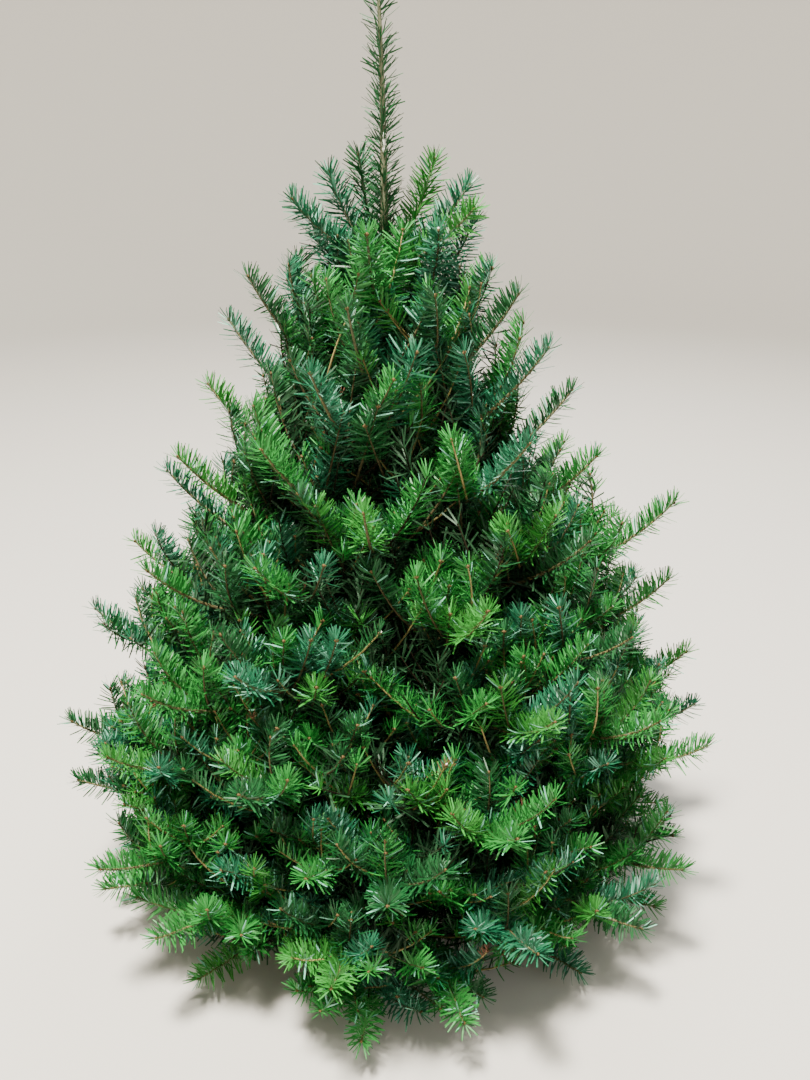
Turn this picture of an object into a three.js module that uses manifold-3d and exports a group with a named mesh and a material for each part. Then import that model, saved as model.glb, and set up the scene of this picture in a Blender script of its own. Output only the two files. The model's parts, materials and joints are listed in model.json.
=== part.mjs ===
// A young plantation fir, whole, from the flat cut at ground level to the tip of its leader.
// The trunk runs up through the crown. Whorls of boughs leave it, steep at the top and level at
// the foot, and each bough ends in a fan of twigs with flat, toothed sprays of needles.
// Millimetres and degrees, +Z up. The origin is the middle of the trunk's foot, and the ground is Z = 0.

import * as THREE from "three";
import { mergeVertices } from "three/addons/utils/BufferGeometryUtils.js";
import Module from "manifold-3d";

const wasm = await Module();
wasm.setup();

// The whole tree
const TREE_HEIGHT = 1670;
const TRUNK = { footRadius: 27, tipRadius: 2.2, flare: 11, flareHeight: 38, buttresses: 5, sides: 10 };
const TRUNK_SWAY = 5;
const TRUNK_LEAN = -14;
const FIT_GAP = 0.3;

// The crown's outline: its radius at each height, widest near the foot
const CROWN = { radius: 630, widestHeight: 205, coneTop: 1470, bulge: 1.6, footRadius: 545, footHeight: 45 };
const LOWEST_NEEDLE = 34;

// Whorls, counted from the leader down
const TOP_WHORL_HEIGHT = 1190;
const INTERNODE = 250;
const INTERNODE_SHRINK = 0.857;
const BOUGHS_PER_WHORL = [6, 5, 5, 5, 5, 5, 5];
const BOUGHS_BETWEEN = [3, 4];
const BETWEEN_SHARE = 0.47;
const RISE = { top: 57, foot: -6, fade: 1.15 };
const BOUGH_LIFT = 24;
const WHORL_TURN = 44.5;
const AZIMUTH_JITTER = 7;
const RISE_JITTER = 2.5;
const CROWN_SEED = 41;

// The first whorl has single shoots: direction from +X, rise above level and length of each
const TOP_SHOOTS = [
  { azimuth: 5, rise: 46, length: 203 },
  { azimuth: 42, rise: 58, length: 215 },
  { azimuth: 118, rise: 64, length: 210 },
  { azimuth: 152, rise: 57, length: 195 },
  { azimuth: 188, rise: 40, length: 197 },
  { azimuth: 335, rise: 36, length: 198 },
];

// The fourth whorl has one bough that outgrew the rest
const LONG_BOUGH = { whorl: 3, azimuth: -4, stretch: 1.13 };

// Limbs
const FIRST_BARE_WHORL = 4;
const BARE_SHARE = 0.3;
const BOUGH_RADIUS = { root: 1.6, perLength: 0.0105, tip: 1.5 };
const BOUGH_SIDES = 6;
const TWIG_SIDES = 3;
const TWIG_RADIUS = { root: 4.2, tip: 1.6 };

// Twigs of a fan
const TWIG = { step: 142, first: 24, angle: 47, ratio: 0.67, least: 30, lift: 16, tilt: 30, tiltUp: 17 };
const SUB_TWIG = { step: 130, first: 40, angle: 46, ratio: 0.55, least: 30, lift: 10, tilt: 28, tiltUp: 14 };
const SHORTEST_TWIG = 62;
const TOP_SHOOT = { bare: 34, fins: 4, halfWidth: 31, slimmest: 14, stemShare: 0.64 };
const SPACE_CLEARANCE = 2.5;
const SIMPLIFY = 0.8;
const SHRINK = 0.84;

// Toothed sprays of needles
const SPRAY = {
  fins: 2,
  longest: 150,
  threeToothed: 128,
  halfWidth: 40,
  thickness: 5,
  rootShare: 0.12,
  notch: 0.38,
  toothLean: 0.92,
  sharedShare: 0.03,
  sink: 14,
};
const NEEDLE_REACH = 16;

// The needles round the leader
const LEADER = { from: 1255, endGap: 20, reach: 27, teeth: 9, fins: 4, core: 23 };
const LEADER_SPACE = 31;

const Z = new THREE.Vector3(0, 0, 1);
const radians = THREE.MathUtils.degToRad;

// Seeded numbers from 0 to 1, the same on every run.
function seededNumbers(seed) {
  let state = Math.imul(seed + 1, 2654435761) >>> 0;
  return () => {
    state = (Math.imul(state, 1664525) + 1013904223) >>> 0;
    return state / 4294967296;
  };
}

const spread = (random, size) => (2 * random() - 1) * size;

// The trunk's middle at a height: it leans a little and bends slightly from whorl to whorl.
function trunkCentre(z) {
  const up = z / TREE_HEIGHT;
  const sway = TRUNK_SWAY * up * Math.sin(up * 3 * Math.PI);
  return new THREE.Vector3(TRUNK_LEAN * up * up + sway, sway * 0.6, z);
}

// The trunk's radius at a height, without the flare of its foot.
function trunkRadius(z) {
  const up = z / TREE_HEIGHT;
  return TRUNK.tipRadius + (TRUNK.footRadius - TRUNK.tipRadius) * Math.pow(1 - up, 1.15);
}

// The crown's radius at a height.
function crownRadius(z) {
  if (z < CROWN.widestHeight) {
    const down = (CROWN.widestHeight - z) / (CROWN.widestHeight - CROWN.footHeight);
    return CROWN.radius - (CROWN.radius - CROWN.footRadius) * down * down;
  }
  const up = Math.min(1, (z - CROWN.widestHeight) / (CROWN.coneTop - CROWN.widestHeight));
  return CROWN.radius * (1 - Math.pow(up, CROWN.bulge));
}

// A limb's line: an arc from a point, along a direction, that lifts towards its own up side.
class Shoot {
  constructor(start, along, up, length, lift) {
    this.start = start;
    this.along = along.clone().normalize();
    this.up = up.clone().addScaledVector(this.along, -up.dot(this.along)).normalize();
    this.length = length;
    this.bend = radians(lift) / length;
  }

  point(s) {
    const turn = this.bend * s;
    return this.start
      .clone()
      .addScaledVector(this.along, Math.sin(turn) / this.bend)
      .addScaledVector(this.up, (1 - Math.cos(turn)) / this.bend);
  }

  tangent(s) {
    const turn = this.bend * s;
    return this.along.clone().multiplyScalar(Math.cos(turn)).addScaledVector(this.up, Math.sin(turn));
  }

  normal(s) {
    const turn = this.bend * s;
    return this.up.clone().multiplyScalar(Math.cos(turn)).addScaledVector(this.along, -Math.sin(turn));
  }

  side(s) {
    return this.normal(s).cross(this.tangent(s));
  }

  // The stretch of this line from s to its end, as a line of its own.
  after(s) {
    const rest = this.length - s;
    return new Shoot(this.point(s), this.tangent(s), this.normal(s), rest, THREE.MathUtils.radToDeg(this.bend) * rest);
  }
}

// The direction at an azimuth from +X and a rise above level.
function direction(azimuth, rise) {
  const [a, e] = [radians(azimuth), radians(rise)];
  return new THREE.Vector3(Math.cos(a) * Math.cos(e), Math.sin(a) * Math.cos(e), Math.sin(e));
}

// A bough's line from the trunk's middle, with its mean rise given.
function boughLine(height, azimuth, rise, length) {
  const start = rise - BOUGH_LIFT / 2;
  return new Shoot(trunkCentre(height), direction(azimuth, start), Z, length, BOUGH_LIFT);
}

const radiusOf = (point) => Math.hypot(point.x, point.y);

// The length at which a bough's tip meets the crown's outline.
function lengthToOutline(height, rise) {
  let [low, high] = [60, 900];
  for (let i = 0; i < 30; i += 1) {
    const middle = (low + high) / 2;
    const tip = boughLine(height, 0, rise, middle).point(middle);
    if (radiusOf(tip) < crownRadius(tip.z)) low = middle;
    else high = middle;
  }
  return low;
}

// One whorl: boughs all round the trunk at one height, each with its direction, length and seed.
function planWhorl(name, place, height, count) {
  const random = seededNumbers(CROWN_SEED + 2 * place);
  const rise = RISE.foot + (RISE.top - RISE.foot) * Math.pow(1 - place / (BOUGHS_PER_WHORL.length - 1), RISE.fade);
  const turn = place === LONG_BOUGH.whorl ? LONG_BOUGH.azimuth : place * WHORL_TURN;
  const boughs = Array.from({ length: count }, (_, i) => {
    const azimuth = turn + (360 / count) * i + spread(random, AZIMUTH_JITTER);
    const own = rise + spread(random, RISE_JITTER);
    return { azimuth, rise: own, length: lengthToOutline(height, own), seed: 200 * (place + 1) + i };
  });
  return { name, height, rise, boughs, bare: place >= FIRST_BARE_WHORL };
}

// Every whorl from the leader down, and the few boughs that stand between the first ones.
function planWhorls() {
  const plan = [];
  let height = TOP_WHORL_HEIGHT;
  BOUGHS_PER_WHORL.forEach((count, index) => {
    const internode = INTERNODE * Math.pow(INTERNODE_SHRINK, index);
    plan.push(planWhorl(`${index + 1}`, index, height, count));
    const between = BOUGHS_BETWEEN[index];
    if (between) plan.push(planWhorl(`${index + 1}b`, index + 0.5, height - internode * BETWEEN_SHARE, between));
    height -= internode;
  });
  plan[0].boughs = TOP_SHOOTS.map((shoot, i) => ({ ...shoot, seed: 100 + i }));
  plan[0].rise = Math.min(...TOP_SHOOTS.map(({ rise }) => rise));
  const longest = plan.find(({ name }) => name === `${LONG_BOUGH.whorl + 1}`).boughs[0];
  longest.azimuth = LONG_BOUGH.azimuth;
  longest.length *= LONG_BOUGH.stretch;
  return plan;
}

const whorls = planWhorls();

// The height of a whorl's surface of boughs at a distance from the trunk.
function whorlSurface(whorl, radius) {
  const root = Math.tan(radians(whorl.rise - BOUGH_LIFT / 2));
  const tip = Math.tan(radians(whorl.rise + BOUGH_LIFT / 2));
  const reach = whorl.boughs.reduce((most, bough) => Math.max(most, bough.length), 0) * Math.cos(radians(whorl.rise));
  return whorl.height + radius * root + ((tip - root) * radius * radius) / (2 * reach);
}

// The azimuth halfway between two, going up from the first.
function halfway(from, to) {
  const turn = ((((to - from) % 360) + 360) % 360) / 2;
  return radians(from + turn);
}

// The space of one bough: a sector round the trunk, between the surfaces halfway to the next whorls.
function spaceOf(index, place) {
  const whorl = whorls[index];
  const { boughs } = whorl;
  const count = boughs.length;
  const own = boughs[place].azimuth;
  const low = halfway(boughs[(place + count - 1) % count].azimuth, own);
  const high = halfway(own, boughs[(place + 1) % count].azimuth);
  const [above, below] = [whorls[index - 1], whorls[index + 1]];
  return (point, clearance = SPACE_CLEARANCE) => {
    const radius = radiusOf(point);
    const azimuth = Math.atan2(point.y, point.x);
    if (radius * Math.sin(azimuth - low) < clearance) return false;
    if (radius * Math.sin(high - azimuth) < clearance) return false;
    const surface = whorlSurface(whorl, radius);
    const ceiling = above ? (surface + whorlSurface(above, radius)) / 2 : Infinity;
    const floor = below ? (surface + whorlSurface(below, radius)) / 2 : LOWEST_NEEDLE;
    if (point.z > ceiling - clearance || point.z < Math.max(floor, LOWEST_NEEDLE) + clearance) return false;
    return above !== undefined || point.z < LEADER.from - FIT_GAP || radius > LEADER_SPACE + clearance;
  };
}

// A closed mesh from points and triangles.
function closedGeometry(points, triangles) {
  const geometry = new THREE.BufferGeometry().setFromPoints(points);
  geometry.setIndex(triangles.flat());
  return geometry;
}

// A tapering limb with flat ends: rings of a polygon along a line, each with its own radius.
function limbGeometry(rings, sides) {
  const points = [];
  const triangles = [];
  rings.forEach(({ centre, across, up, radius }, ring) => {
    for (let i = 0; i < sides; i += 1) {
      const turn = (2 * Math.PI * i) / sides;
      const reach = typeof radius === "function" ? radius(turn) : radius;
      points.push(
        centre
          .clone()
          .addScaledVector(across, reach * Math.cos(turn))
          .addScaledVector(up, reach * Math.sin(turn)),
      );
      if (ring === 0) continue;
      const [a, b] = [(ring - 1) * sides + i, (ring - 1) * sides + ((i + 1) % sides)];
      triangles.push([a, b, b + sides], [a, b + sides, a + sides]);
    }
  });
  const top = (rings.length - 1) * sides;
  for (let i = 1; i < sides - 1; i += 1) triangles.push([0, i + 1, i], [top, top + i, top + i + 1]);
  return closedGeometry(points, triangles);
}

// A limb along a shoot from one distance to another, with its radius at each.
function limbAlong(shoot, from, to, radiusAt, sides, steps) {
  const rings = Array.from({ length: steps + 1 }, (_, i) => {
    const s = from + ((to - from) * i) / steps;
    return { centre: shoot.point(s), across: shoot.side(s).negate(), up: shoot.normal(s), radius: radiusAt(s) };
  });
  return limbGeometry(rings, sides);
}

// A spray of needles from its root point: a slim ridged core with toothed fins round it, two for a
// flat spray and more for needles that stand all round.
function sprayGeometry(root, along, normal, length, halfWidth, teeth, fins = 2, core = SPRAY.thickness) {
  const side = normal.clone().cross(along);
  const at = (x, reach, turn) =>
    root
      .clone()
      .addScaledVector(along, x)
      .addScaledVector(side, reach * Math.cos(turn))
      .addScaledVector(normal, reach * Math.sin(turn));
  const start = length * SPRAY.rootShare;
  const pitch = (length - start) / (teeth + 0.6);
  const outer = (x) => halfWidth * Math.pow(Math.sin(Math.PI * Math.min(0.97, 0.2 + (0.62 * x) / length)), 0.8);
  const points = [at(0, 0, 0), at(length, 0, 0)];
  const triangles = [];
  const ridge = (k, fin) => 2 + (k * fins + (fin % fins)) * 3;
  const notch = (k, fin) => ridge(k, fin) + 1;
  const tooth = (k, fin) => ridge(k, fin) + 2;
  for (let k = 0; k < teeth; k += 1) {
    const x = start + pitch * k;
    const peak = x + pitch * SPRAY.toothLean;
    const thick = (core / 2) * (1 - 0.35 * (k / teeth));
    const inner = SPRAY.notch * outer(x) * (k === 0 ? 0.5 : 1);
    for (let fin = 0; fin < fins; fin += 1) {
      const turn = (2 * Math.PI * fin) / fins;
      points.push(at(x, thick, turn + Math.PI / fins), at(x, inner, turn), at(peak, outer(peak), turn));
    }
  }
  for (let fin = 0; fin < fins; fin += 1) {
    for (const hand of [0, 1]) {
      const face = (a, b, c) => triangles.push(hand ? [a, c, b] : [a, b, c]);
      const valley = fin + fins - hand;
      face(0, notch(0, fin), ridge(0, valley));
      for (let k = 0; k < teeth; k += 1) {
        const last = k === teeth - 1;
        const next = last ? 1 : notch(k + 1, fin);
        face(ridge(k, valley), notch(k, fin), tooth(k, fin));
        face(ridge(k, valley), tooth(k, fin), next);
        if (!last) face(ridge(k, valley), next, ridge(k + 1, valley));
      }
    }
  }
  return closedGeometry(points, triangles);
}

// A closed three.js mesh as a solid that can be cut and joined.
function solidOf(geometry) {
  const bare = geometry.clone();
  bare.deleteAttribute("normal");
  bare.deleteAttribute("uv");
  const merged = mergeVertices(bare, 1e-3);
  const mesh = { numProp: 3, vertProperties: merged.attributes.position.array, triVerts: new Uint32Array(merged.index.array) };
  const solid = new wasm.Manifold(new wasm.Mesh(mesh));
  if (solid.volume() >= 0) return solid;
  for (let i = 0; i < mesh.triVerts.length; i += 3) {
    [mesh.triVerts[i + 1], mesh.triVerts[i + 2]] = [mesh.triVerts[i + 2], mesh.triVerts[i + 1]];
  }
  return new wasm.Manifold(new wasm.Mesh(mesh));
}

// A solid's largest body as a three.js mesh, so that no loose scrap of a cut stays.
function geometryOf(solid) {
  const whole = solid.decompose().reduce((most, body) => (body.volume() > most.volume() ? body : most));
  const { vertProperties, triVerts } = whole.getMesh();
  const geometry = new THREE.BufferGeometry();
  geometry.setAttribute("position", new THREE.BufferAttribute(new Float32Array(vertProperties), 3));
  geometry.setIndex([...triVerts]);
  return geometry;
}

// The trunk's rings, close together in the flare of the foot, grown all round by a margin.
function trunkGeometry(margin = 0) {
  const heights = [0, 14, 34, 70, 130];
  whorls.toReversed().forEach(({ height }) => height > 150 && heights.push(height - 12, height + 14));
  heights.push(1420, TREE_HEIGHT - 24, TREE_HEIGHT);
  const rings = heights.map((z) => {
    const swell = Math.exp(-z / TRUNK.flareHeight);
    const knot = whorls.some(({ height }) => Math.abs(height - 12 - z) < 1 && height > 150) ? 1.06 : 1;
    const slim = z === TREE_HEIGHT ? 0.45 : 1;
    const radius = (turn) => {
      const lobe = 0.62 + 0.38 * Math.cos(turn * TRUNK.buttresses);
      return margin + trunkRadius(z) * knot * slim + TRUNK.flare * swell * lobe;
    };
    return { centre: trunkCentre(z), across: new THREE.Vector3(1, 0, 0), up: new THREE.Vector3(0, 1, 0), radius };
  });
  if (margin) rings[0].centre.z -= margin;
  if (margin) rings.at(-1).centre.z += margin;
  return limbGeometry(rings, TRUNK.sides);
}

const trunkSpace = solidOf(trunkGeometry(FIT_GAP));

// A bough's radius at a distance along it.
function boughRadius(bough, s) {
  const root = BOUGH_RADIUS.root + BOUGH_RADIUS.perLength * bough.length;
  return BOUGH_RADIUS.tip + (root - BOUGH_RADIUS.tip) * (1 - s / bough.length);
}

// The bare stretch of a bough, from the trunk's bark to where it enters its foliage.
function boughSolid(bough, line, end) {
  const radius = (s) => boughRadius(bough, s);
  return solidOf(limbAlong(line, 0, end, radius, BOUGH_SIDES, 2)).subtract(trunkSpace);
}

// The twigs that leave a line in pairs, the last at its spray's root, shorter towards the tip.
function twigsOf(line, rule, random, from, to) {
  const twigs = [];
  for (let s = to; s > from + rule.first; s -= rule.step) {
    for (const hand of [1, -1]) {
      const at = Math.max(from + rule.first, s + (s === to ? 0 : spread(random, rule.step * 0.16)));
      const angle = radians(rule.angle + spread(random, 6));
      const tilt = radians(rule.tiltUp + spread(random, rule.tilt));
      const length = (rule.least + rule.ratio * (line.length - at)) * (1 + spread(random, 0.12));
      const out = line.side(at).multiplyScalar(hand * Math.cos(tilt)).addScaledVector(line.normal(at), Math.sin(tilt));
      const along = line.tangent(at).multiplyScalar(Math.cos(angle)).addScaledVector(out, Math.sin(angle));
      const up = line.normal(at).addScaledVector(Z, 0.35);
      twigs.push(new Shoot(line.point(at), along, up, length, rule.lift));
    }
  }
  return twigs;
}

// A line cut short, with the same curve.
function shortened(line, length) {
  return new Shoot(line.start, line.along, line.up, length, THREE.MathUtils.radToDeg(line.bend) * length);
}

// The corners of a closed mesh.
function cornersOf(geometry) {
  const position = geometry.attributes.position;
  return Array.from({ length: position.count }, (_, i) => new THREE.Vector3().fromBufferAttribute(position, i));
}

// The blade of needles over the last stretch of a line, from s = from on.
function bladeOn(line, from, { fins, halfWidth } = SPRAY) {
  const root = line.point(from);
  const tip = line.point(line.length).addScaledVector(line.tangent(line.length), NEEDLE_REACH);
  const length = tip.distanceTo(root);
  const along = tip.sub(root).normalize();
  const normal = line.normal((from + line.length) / 2);
  normal.addScaledVector(along, -normal.dot(along)).normalize();
  const reach = halfWidth * Math.min(1, 0.45 + (0.55 * length) / SPRAY.longest);
  return sprayGeometry(root, along, normal, length, reach, length > SPRAY.threeToothed ? 3 : 2, fins);
}

// A twig with its spray as solids. It is cut back until the spray keeps to its space and clear
// of the other sprays, and null comes back where none is left.
function grow(twig, thickness, inSpace, others) {
  for (let length = twig.length; length >= SHORTEST_TWIG; length *= SHRINK) {
    const line = shortened(twig, length);
    const tip = line.point(length);
    if (!inSpace(tip) || radiusOf(tip) > crownRadius(tip.z)) continue;
    const from = Math.max(0, length + NEEDLE_REACH - SPRAY.longest);
    const blade = bladeOn(line, from);
    if (!cornersOf(blade).slice(1).every((corner) => inSpace(corner))) continue;
    const spray = solidOf(blade);
    const shared = others.reduce((sum, other) => sum + spray.intersect(other).volume(), 0);
    if (shared > SPRAY.sharedShare * spray.volume()) continue;
    const end = from + SPRAY.sink;
    const stem = from > 0 ? solidOf(limbAlong(line, 0, end, thickness, TWIG_SIDES, 1)) : null;
    return { line, spray, stem, from };
  }
  return null;
}

// The fan of twigs and sprays on a bough's line, from its stem's start to its tip.
function fanSolids(bough, line, start, inSpace) {
  const random = seededNumbers(bough.seed);
  const tipFrom = line.length + NEEDLE_REACH - SPRAY.longest;
  const sprays = [solidOf(bladeOn(line, tipFrom))];
  const radius = (s) => boughRadius(bough, s);
  const stems = [solidOf(limbAlong(line, start, tipFrom + SPRAY.sink, radius, TWIG_SIDES, 2))];
  const growAll = (twigs) => {
    const grown = twigs.map((twig) => {
      const thin = (s) => TWIG_RADIUS.root + ((TWIG_RADIUS.tip - TWIG_RADIUS.root) * s) / twig.length;
      const parts = grow(twig, thin, inSpace, sprays);
      if (parts) sprays.push(parts.spray);
      if (parts?.stem) stems.push(parts.stem);
      return parts;
    });
    return grown.filter((parts) => parts?.stem);
  };
  const forked = growAll(twigsOf(line, TWIG, random, start, tipFrom));
  growAll(forked.flatMap(({ line: twig, from }) => twigsOf(twig, SUB_TWIG, random, 0, from)));
  return [...stems, ...sprays];
}

// One shoot of the first whorl: a stem that ends in a spray with needles all round it.
function topShootSolids(bough, line, start, inSpace) {
  const radius = (s) => boughRadius(bough, s) * TOP_SHOOT.stemShare;
  const from = Math.max(TOP_SHOOT.bare, line.length + NEEDLE_REACH - SPRAY.longest);
  const stem = limbAlong(line, start, from + SPRAY.sink, radius, TWIG_SIDES, 1);
  let halfWidth = TOP_SHOOT.halfWidth;
  let blade = bladeOn(line, from, TOP_SHOOT);
  while (halfWidth > TOP_SHOOT.slimmest && !cornersOf(blade).slice(1).every((corner) => inSpace(corner))) {
    halfWidth *= SHRINK;
    blade = bladeOn(line, from, { ...TOP_SHOOT, halfWidth });
  }
  return [stem, blade].map(solidOf);
}

// Joins solids and takes out the trunk with its gap.
function joined(solids) {
  return wasm.Manifold.union(solids).simplify(SIMPLIFY).subtract(trunkSpace);
}

// The needles round the leader: one long toothed spray with the leader's own space cut out.
function leaderSolid() {
  const root = trunkCentre(LEADER.from);
  const tip = trunkCentre(TREE_HEIGHT - LEADER.endGap);
  const length = tip.distanceTo(root);
  const along = tip.sub(root).normalize();
  const normal = new THREE.Vector3(0, 1, 0);
  normal.addScaledVector(along, -normal.dot(along)).normalize();
  const spray = sprayGeometry(root, along, normal, length, LEADER.reach, LEADER.teeth, LEADER.fins, LEADER.core);
  return joined([solidOf(spray)]);
}

const bark = (colour) => new THREE.MeshStandardMaterial({ color: colour, roughness: 0.85, metalness: 0 });
const needles = (colour) => new THREE.MeshStandardMaterial({ color: colour, roughness: 0.5, metalness: 0 });
const MATERIALS = {
  trunk: bark(0x6b5a49),
  bough: bark(0x5a4534),
  foliage: needles(0x1d5a2e),
  leader: needles(0x2c6b35),
};

// Adds one named sub-part to the tree.
function addPart(tree, name, geometry, material) {
  const mesh = new THREE.Mesh(geometry, material);
  mesh.name = name;
  tree.add(mesh);
}

// The tree as a group of its trunk, its boughs and its masses of foliage.
function buildTree() {
  const tree = new THREE.Group();
  addPart(tree, "trunk", trunkGeometry(), MATERIALS.trunk);
  addPart(tree, "leader_needles", geometryOf(leaderSolid()), MATERIALS.leader);
  whorls.forEach((whorl, index) => {
    whorl.boughs.forEach((bough, place) => {
      const name = `${whorl.name}_${place + 1}`;
      const line = boughLine(whorl.height, bough.azimuth, bough.rise, bough.length);
      const end = whorl.bare ? bough.length * BARE_SHARE : 0;
      if (whorl.bare) addPart(tree, `bough_${name}`, geometryOf(boughSolid(bough, line, end)), MATERIALS.bough);
      const start = whorl.bare ? end + FIT_GAP : 0;
      const fill = index === 0 ? topShootSolids : fanSolids;
      const solids = fill(bough, line, start, spaceOf(index, place));
      addPart(tree, `foliage_${name}`, geometryOf(joined(solids)), MATERIALS.foliage);
    });
  });
  return tree;
}

export default buildTree();
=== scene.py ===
"""Looks of a young plantation fir: trunk and boughs with their bark, and a crown of needled shoots.

The crown grows by the rule of the solids it stands for. Boughs leave the trunk in whorls, twigs
leave the boughs in pairs, and each later twig bears shorter ones, as far as the crown's outline.
Single needles, buds and twigs take the place of the solids' toothed sprays. Lengths are in metres.
"""

import json
import logging
import math
from collections.abc import Iterator
from dataclasses import dataclass, field, replace
from enum import Enum

import bpy
import numpy as np
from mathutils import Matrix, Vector

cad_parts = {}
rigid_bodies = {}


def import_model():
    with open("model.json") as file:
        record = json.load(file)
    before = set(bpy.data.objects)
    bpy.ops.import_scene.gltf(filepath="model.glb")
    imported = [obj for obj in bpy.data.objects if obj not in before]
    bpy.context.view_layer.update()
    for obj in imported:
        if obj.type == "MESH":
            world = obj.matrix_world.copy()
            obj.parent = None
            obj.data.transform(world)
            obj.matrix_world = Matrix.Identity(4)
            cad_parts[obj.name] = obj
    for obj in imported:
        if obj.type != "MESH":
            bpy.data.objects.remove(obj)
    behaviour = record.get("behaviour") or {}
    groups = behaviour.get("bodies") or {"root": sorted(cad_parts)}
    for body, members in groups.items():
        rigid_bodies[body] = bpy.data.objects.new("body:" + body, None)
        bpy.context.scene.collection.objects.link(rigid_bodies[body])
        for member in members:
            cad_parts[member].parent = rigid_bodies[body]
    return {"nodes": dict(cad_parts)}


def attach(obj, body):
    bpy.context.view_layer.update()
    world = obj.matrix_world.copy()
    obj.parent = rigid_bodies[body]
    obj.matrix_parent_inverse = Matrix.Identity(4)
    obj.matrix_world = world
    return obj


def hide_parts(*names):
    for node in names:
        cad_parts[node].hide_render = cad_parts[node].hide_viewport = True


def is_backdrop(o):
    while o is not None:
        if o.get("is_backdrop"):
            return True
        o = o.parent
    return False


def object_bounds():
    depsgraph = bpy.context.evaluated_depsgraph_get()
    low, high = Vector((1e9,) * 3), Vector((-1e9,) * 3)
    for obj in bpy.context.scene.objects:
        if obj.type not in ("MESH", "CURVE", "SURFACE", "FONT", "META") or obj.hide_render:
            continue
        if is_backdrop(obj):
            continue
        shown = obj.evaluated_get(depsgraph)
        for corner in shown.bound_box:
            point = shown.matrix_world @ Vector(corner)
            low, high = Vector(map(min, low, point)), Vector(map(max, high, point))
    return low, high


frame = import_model()
CAD_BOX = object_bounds()

LOG = logging.getLogger("fir")
BODY = "root"
UP = np.array([0.0, 0.0, 1.0])
Array = np.ndarray
Colour = tuple[float, float, float, float]
Bead = tuple[Array, Array, float]


def linear(hex_colour: str) -> Colour:
    """Turns an sRGB colour into linear light.

    Args:
        hex_colour: The colour as six hexadecimal digits after a hash sign.

    Returns:
        Red, green, blue and full alpha.
    """
    parts = (int(hex_colour[i : i + 2], 16) / 255 for i in (1, 3, 5))
    red, green, blue = (c / 12.92 if c <= 0.04045 else ((c + 0.055) / 1.055) ** 2.4 for c in parts)
    return (red, green, blue, 1.0)


def unit(vectors: Array) -> Array:
    """Scales vectors, one or a row of them, to length one."""
    return vectors / np.maximum(np.linalg.norm(vectors, axis=-1, keepdims=True), 1e-12)


def heading(azimuth: float, rise: float) -> Array:
    """Gives the direction at an azimuth from +X and a rise above level, both in degrees."""
    a, e = math.radians(azimuth), math.radians(rise)
    return np.array([math.cos(a) * math.cos(e), math.sin(a) * math.cos(e), math.sin(e)])


def link(name: str, data: object) -> bpy.types.Object:
    """Makes an object of a mesh, a lamp or a camera and links it.

    Args:
        name: Its name.
        data: What it holds.

    Returns:
        The object, at the origin.
    """
    made = bpy.data.objects.new(name, data)
    bpy.context.collection.objects.link(made)
    return made


def surface(name: str, points: list, faces: list[list[int]], finish: bpy.types.Material) -> bpy.types.Object:
    """Makes a smooth piece from its points and faces.

    Args:
        name: Its name.
        points: Its points.
        faces: The points of each face.
        finish: Its material.

    Returns:
        The piece.
    """
    mesh = bpy.data.meshes.new(name)
    mesh.from_pydata(points, [], faces)
    mesh.polygons.foreach_set("use_smooth", [True] * len(mesh.polygons))
    mesh.materials.append(finish)
    return link(name, mesh)


class SeededNumbers:
    """The seeded numbers that the solids' own plan uses, the same on every run."""

    SCATTER, FACTOR, STEP, SPAN = 2654435761, 1664525, 1013904223, 2**32

    def __init__(self, seed: int) -> None:
        """Starts the row of numbers at a seed."""
        self.state = ((seed + 1) * self.SCATTER) % self.SPAN

    def __call__(self) -> float:
        """Returns the next number from 0 to 1."""
        self.state = (self.state * self.FACTOR + self.STEP) % self.SPAN
        return self.state / self.SPAN

    def spread(self, size: float) -> float:
        """Returns the next number from minus size to size."""
        return (2 * self() - 1) * size


@dataclass(frozen=True)
class Line:
    """A limb's line: an arc from a point, along a direction, that lifts towards its up side.

    Attributes:
        start: Where it starts.
        along: Its unit direction there.
        up: The unit side that it lifts towards.
        length: Its length.
        bend: How far it turns, in radians a metre.
        knee: Where its leading shoot starts, past its end where it has none of its own.
        curl: How much more the leading shoot turns, in radians a metre.
    """

    start: Array
    along: Array
    up: Array
    length: float
    bend: float
    knee: float = 10.0
    curl: float = 0.0

    @classmethod
    def lifted(cls, start: Array, along: Array, up: Array, length: float, lift: float) -> "Line":
        """Makes a line that turns by lift degrees over its length.

        Args:
            start: Where it starts.
            along: Its direction there.
            up: The side that it lifts towards.
            length: Its length.
            lift: How far it turns.

        Returns:
            The line.
        """
        along = unit(along)
        up = unit(up - np.dot(up, along) * along)
        return cls(start, along, up, length, math.radians(lift) / length)

    def points(self, s: Array) -> Array:
        """Gives points of the line.

        Args:
            s: Distances along it.

        Returns:
            The point at each.
        """
        low, high = (self.bend * np.minimum(s, self.knee))[..., None], self.turned(s)
        wood = (np.sin(low) * self.along + (1 - np.cos(low)) * self.up) / self.bend
        ahead, over = np.sin(high) - np.sin(low), np.cos(low) - np.cos(high)
        return self.start + wood + (ahead * self.along + over * self.up) / (self.bend + self.curl)

    def turned(self, s: Array) -> Array:
        """Returns how far the line has turned at distances s, as a column."""
        s = np.asarray(s, dtype=float)
        return (self.bend * s + self.curl * np.maximum(s - self.knee, 0.0))[..., None]

    def tangents(self, s: Array) -> Array:
        """Returns the directions at distances s along the line."""
        turn = self.turned(s)
        return np.cos(turn) * self.along + np.sin(turn) * self.up

    def normals(self, s: Array) -> Array:
        """Returns the up sides at distances s along the line."""
        turn = self.turned(s)
        return np.cos(turn) * self.up - np.sin(turn) * self.along

    def tip(self) -> Array:
        """Returns the line's end."""
        return self.points(self.length)


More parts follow.
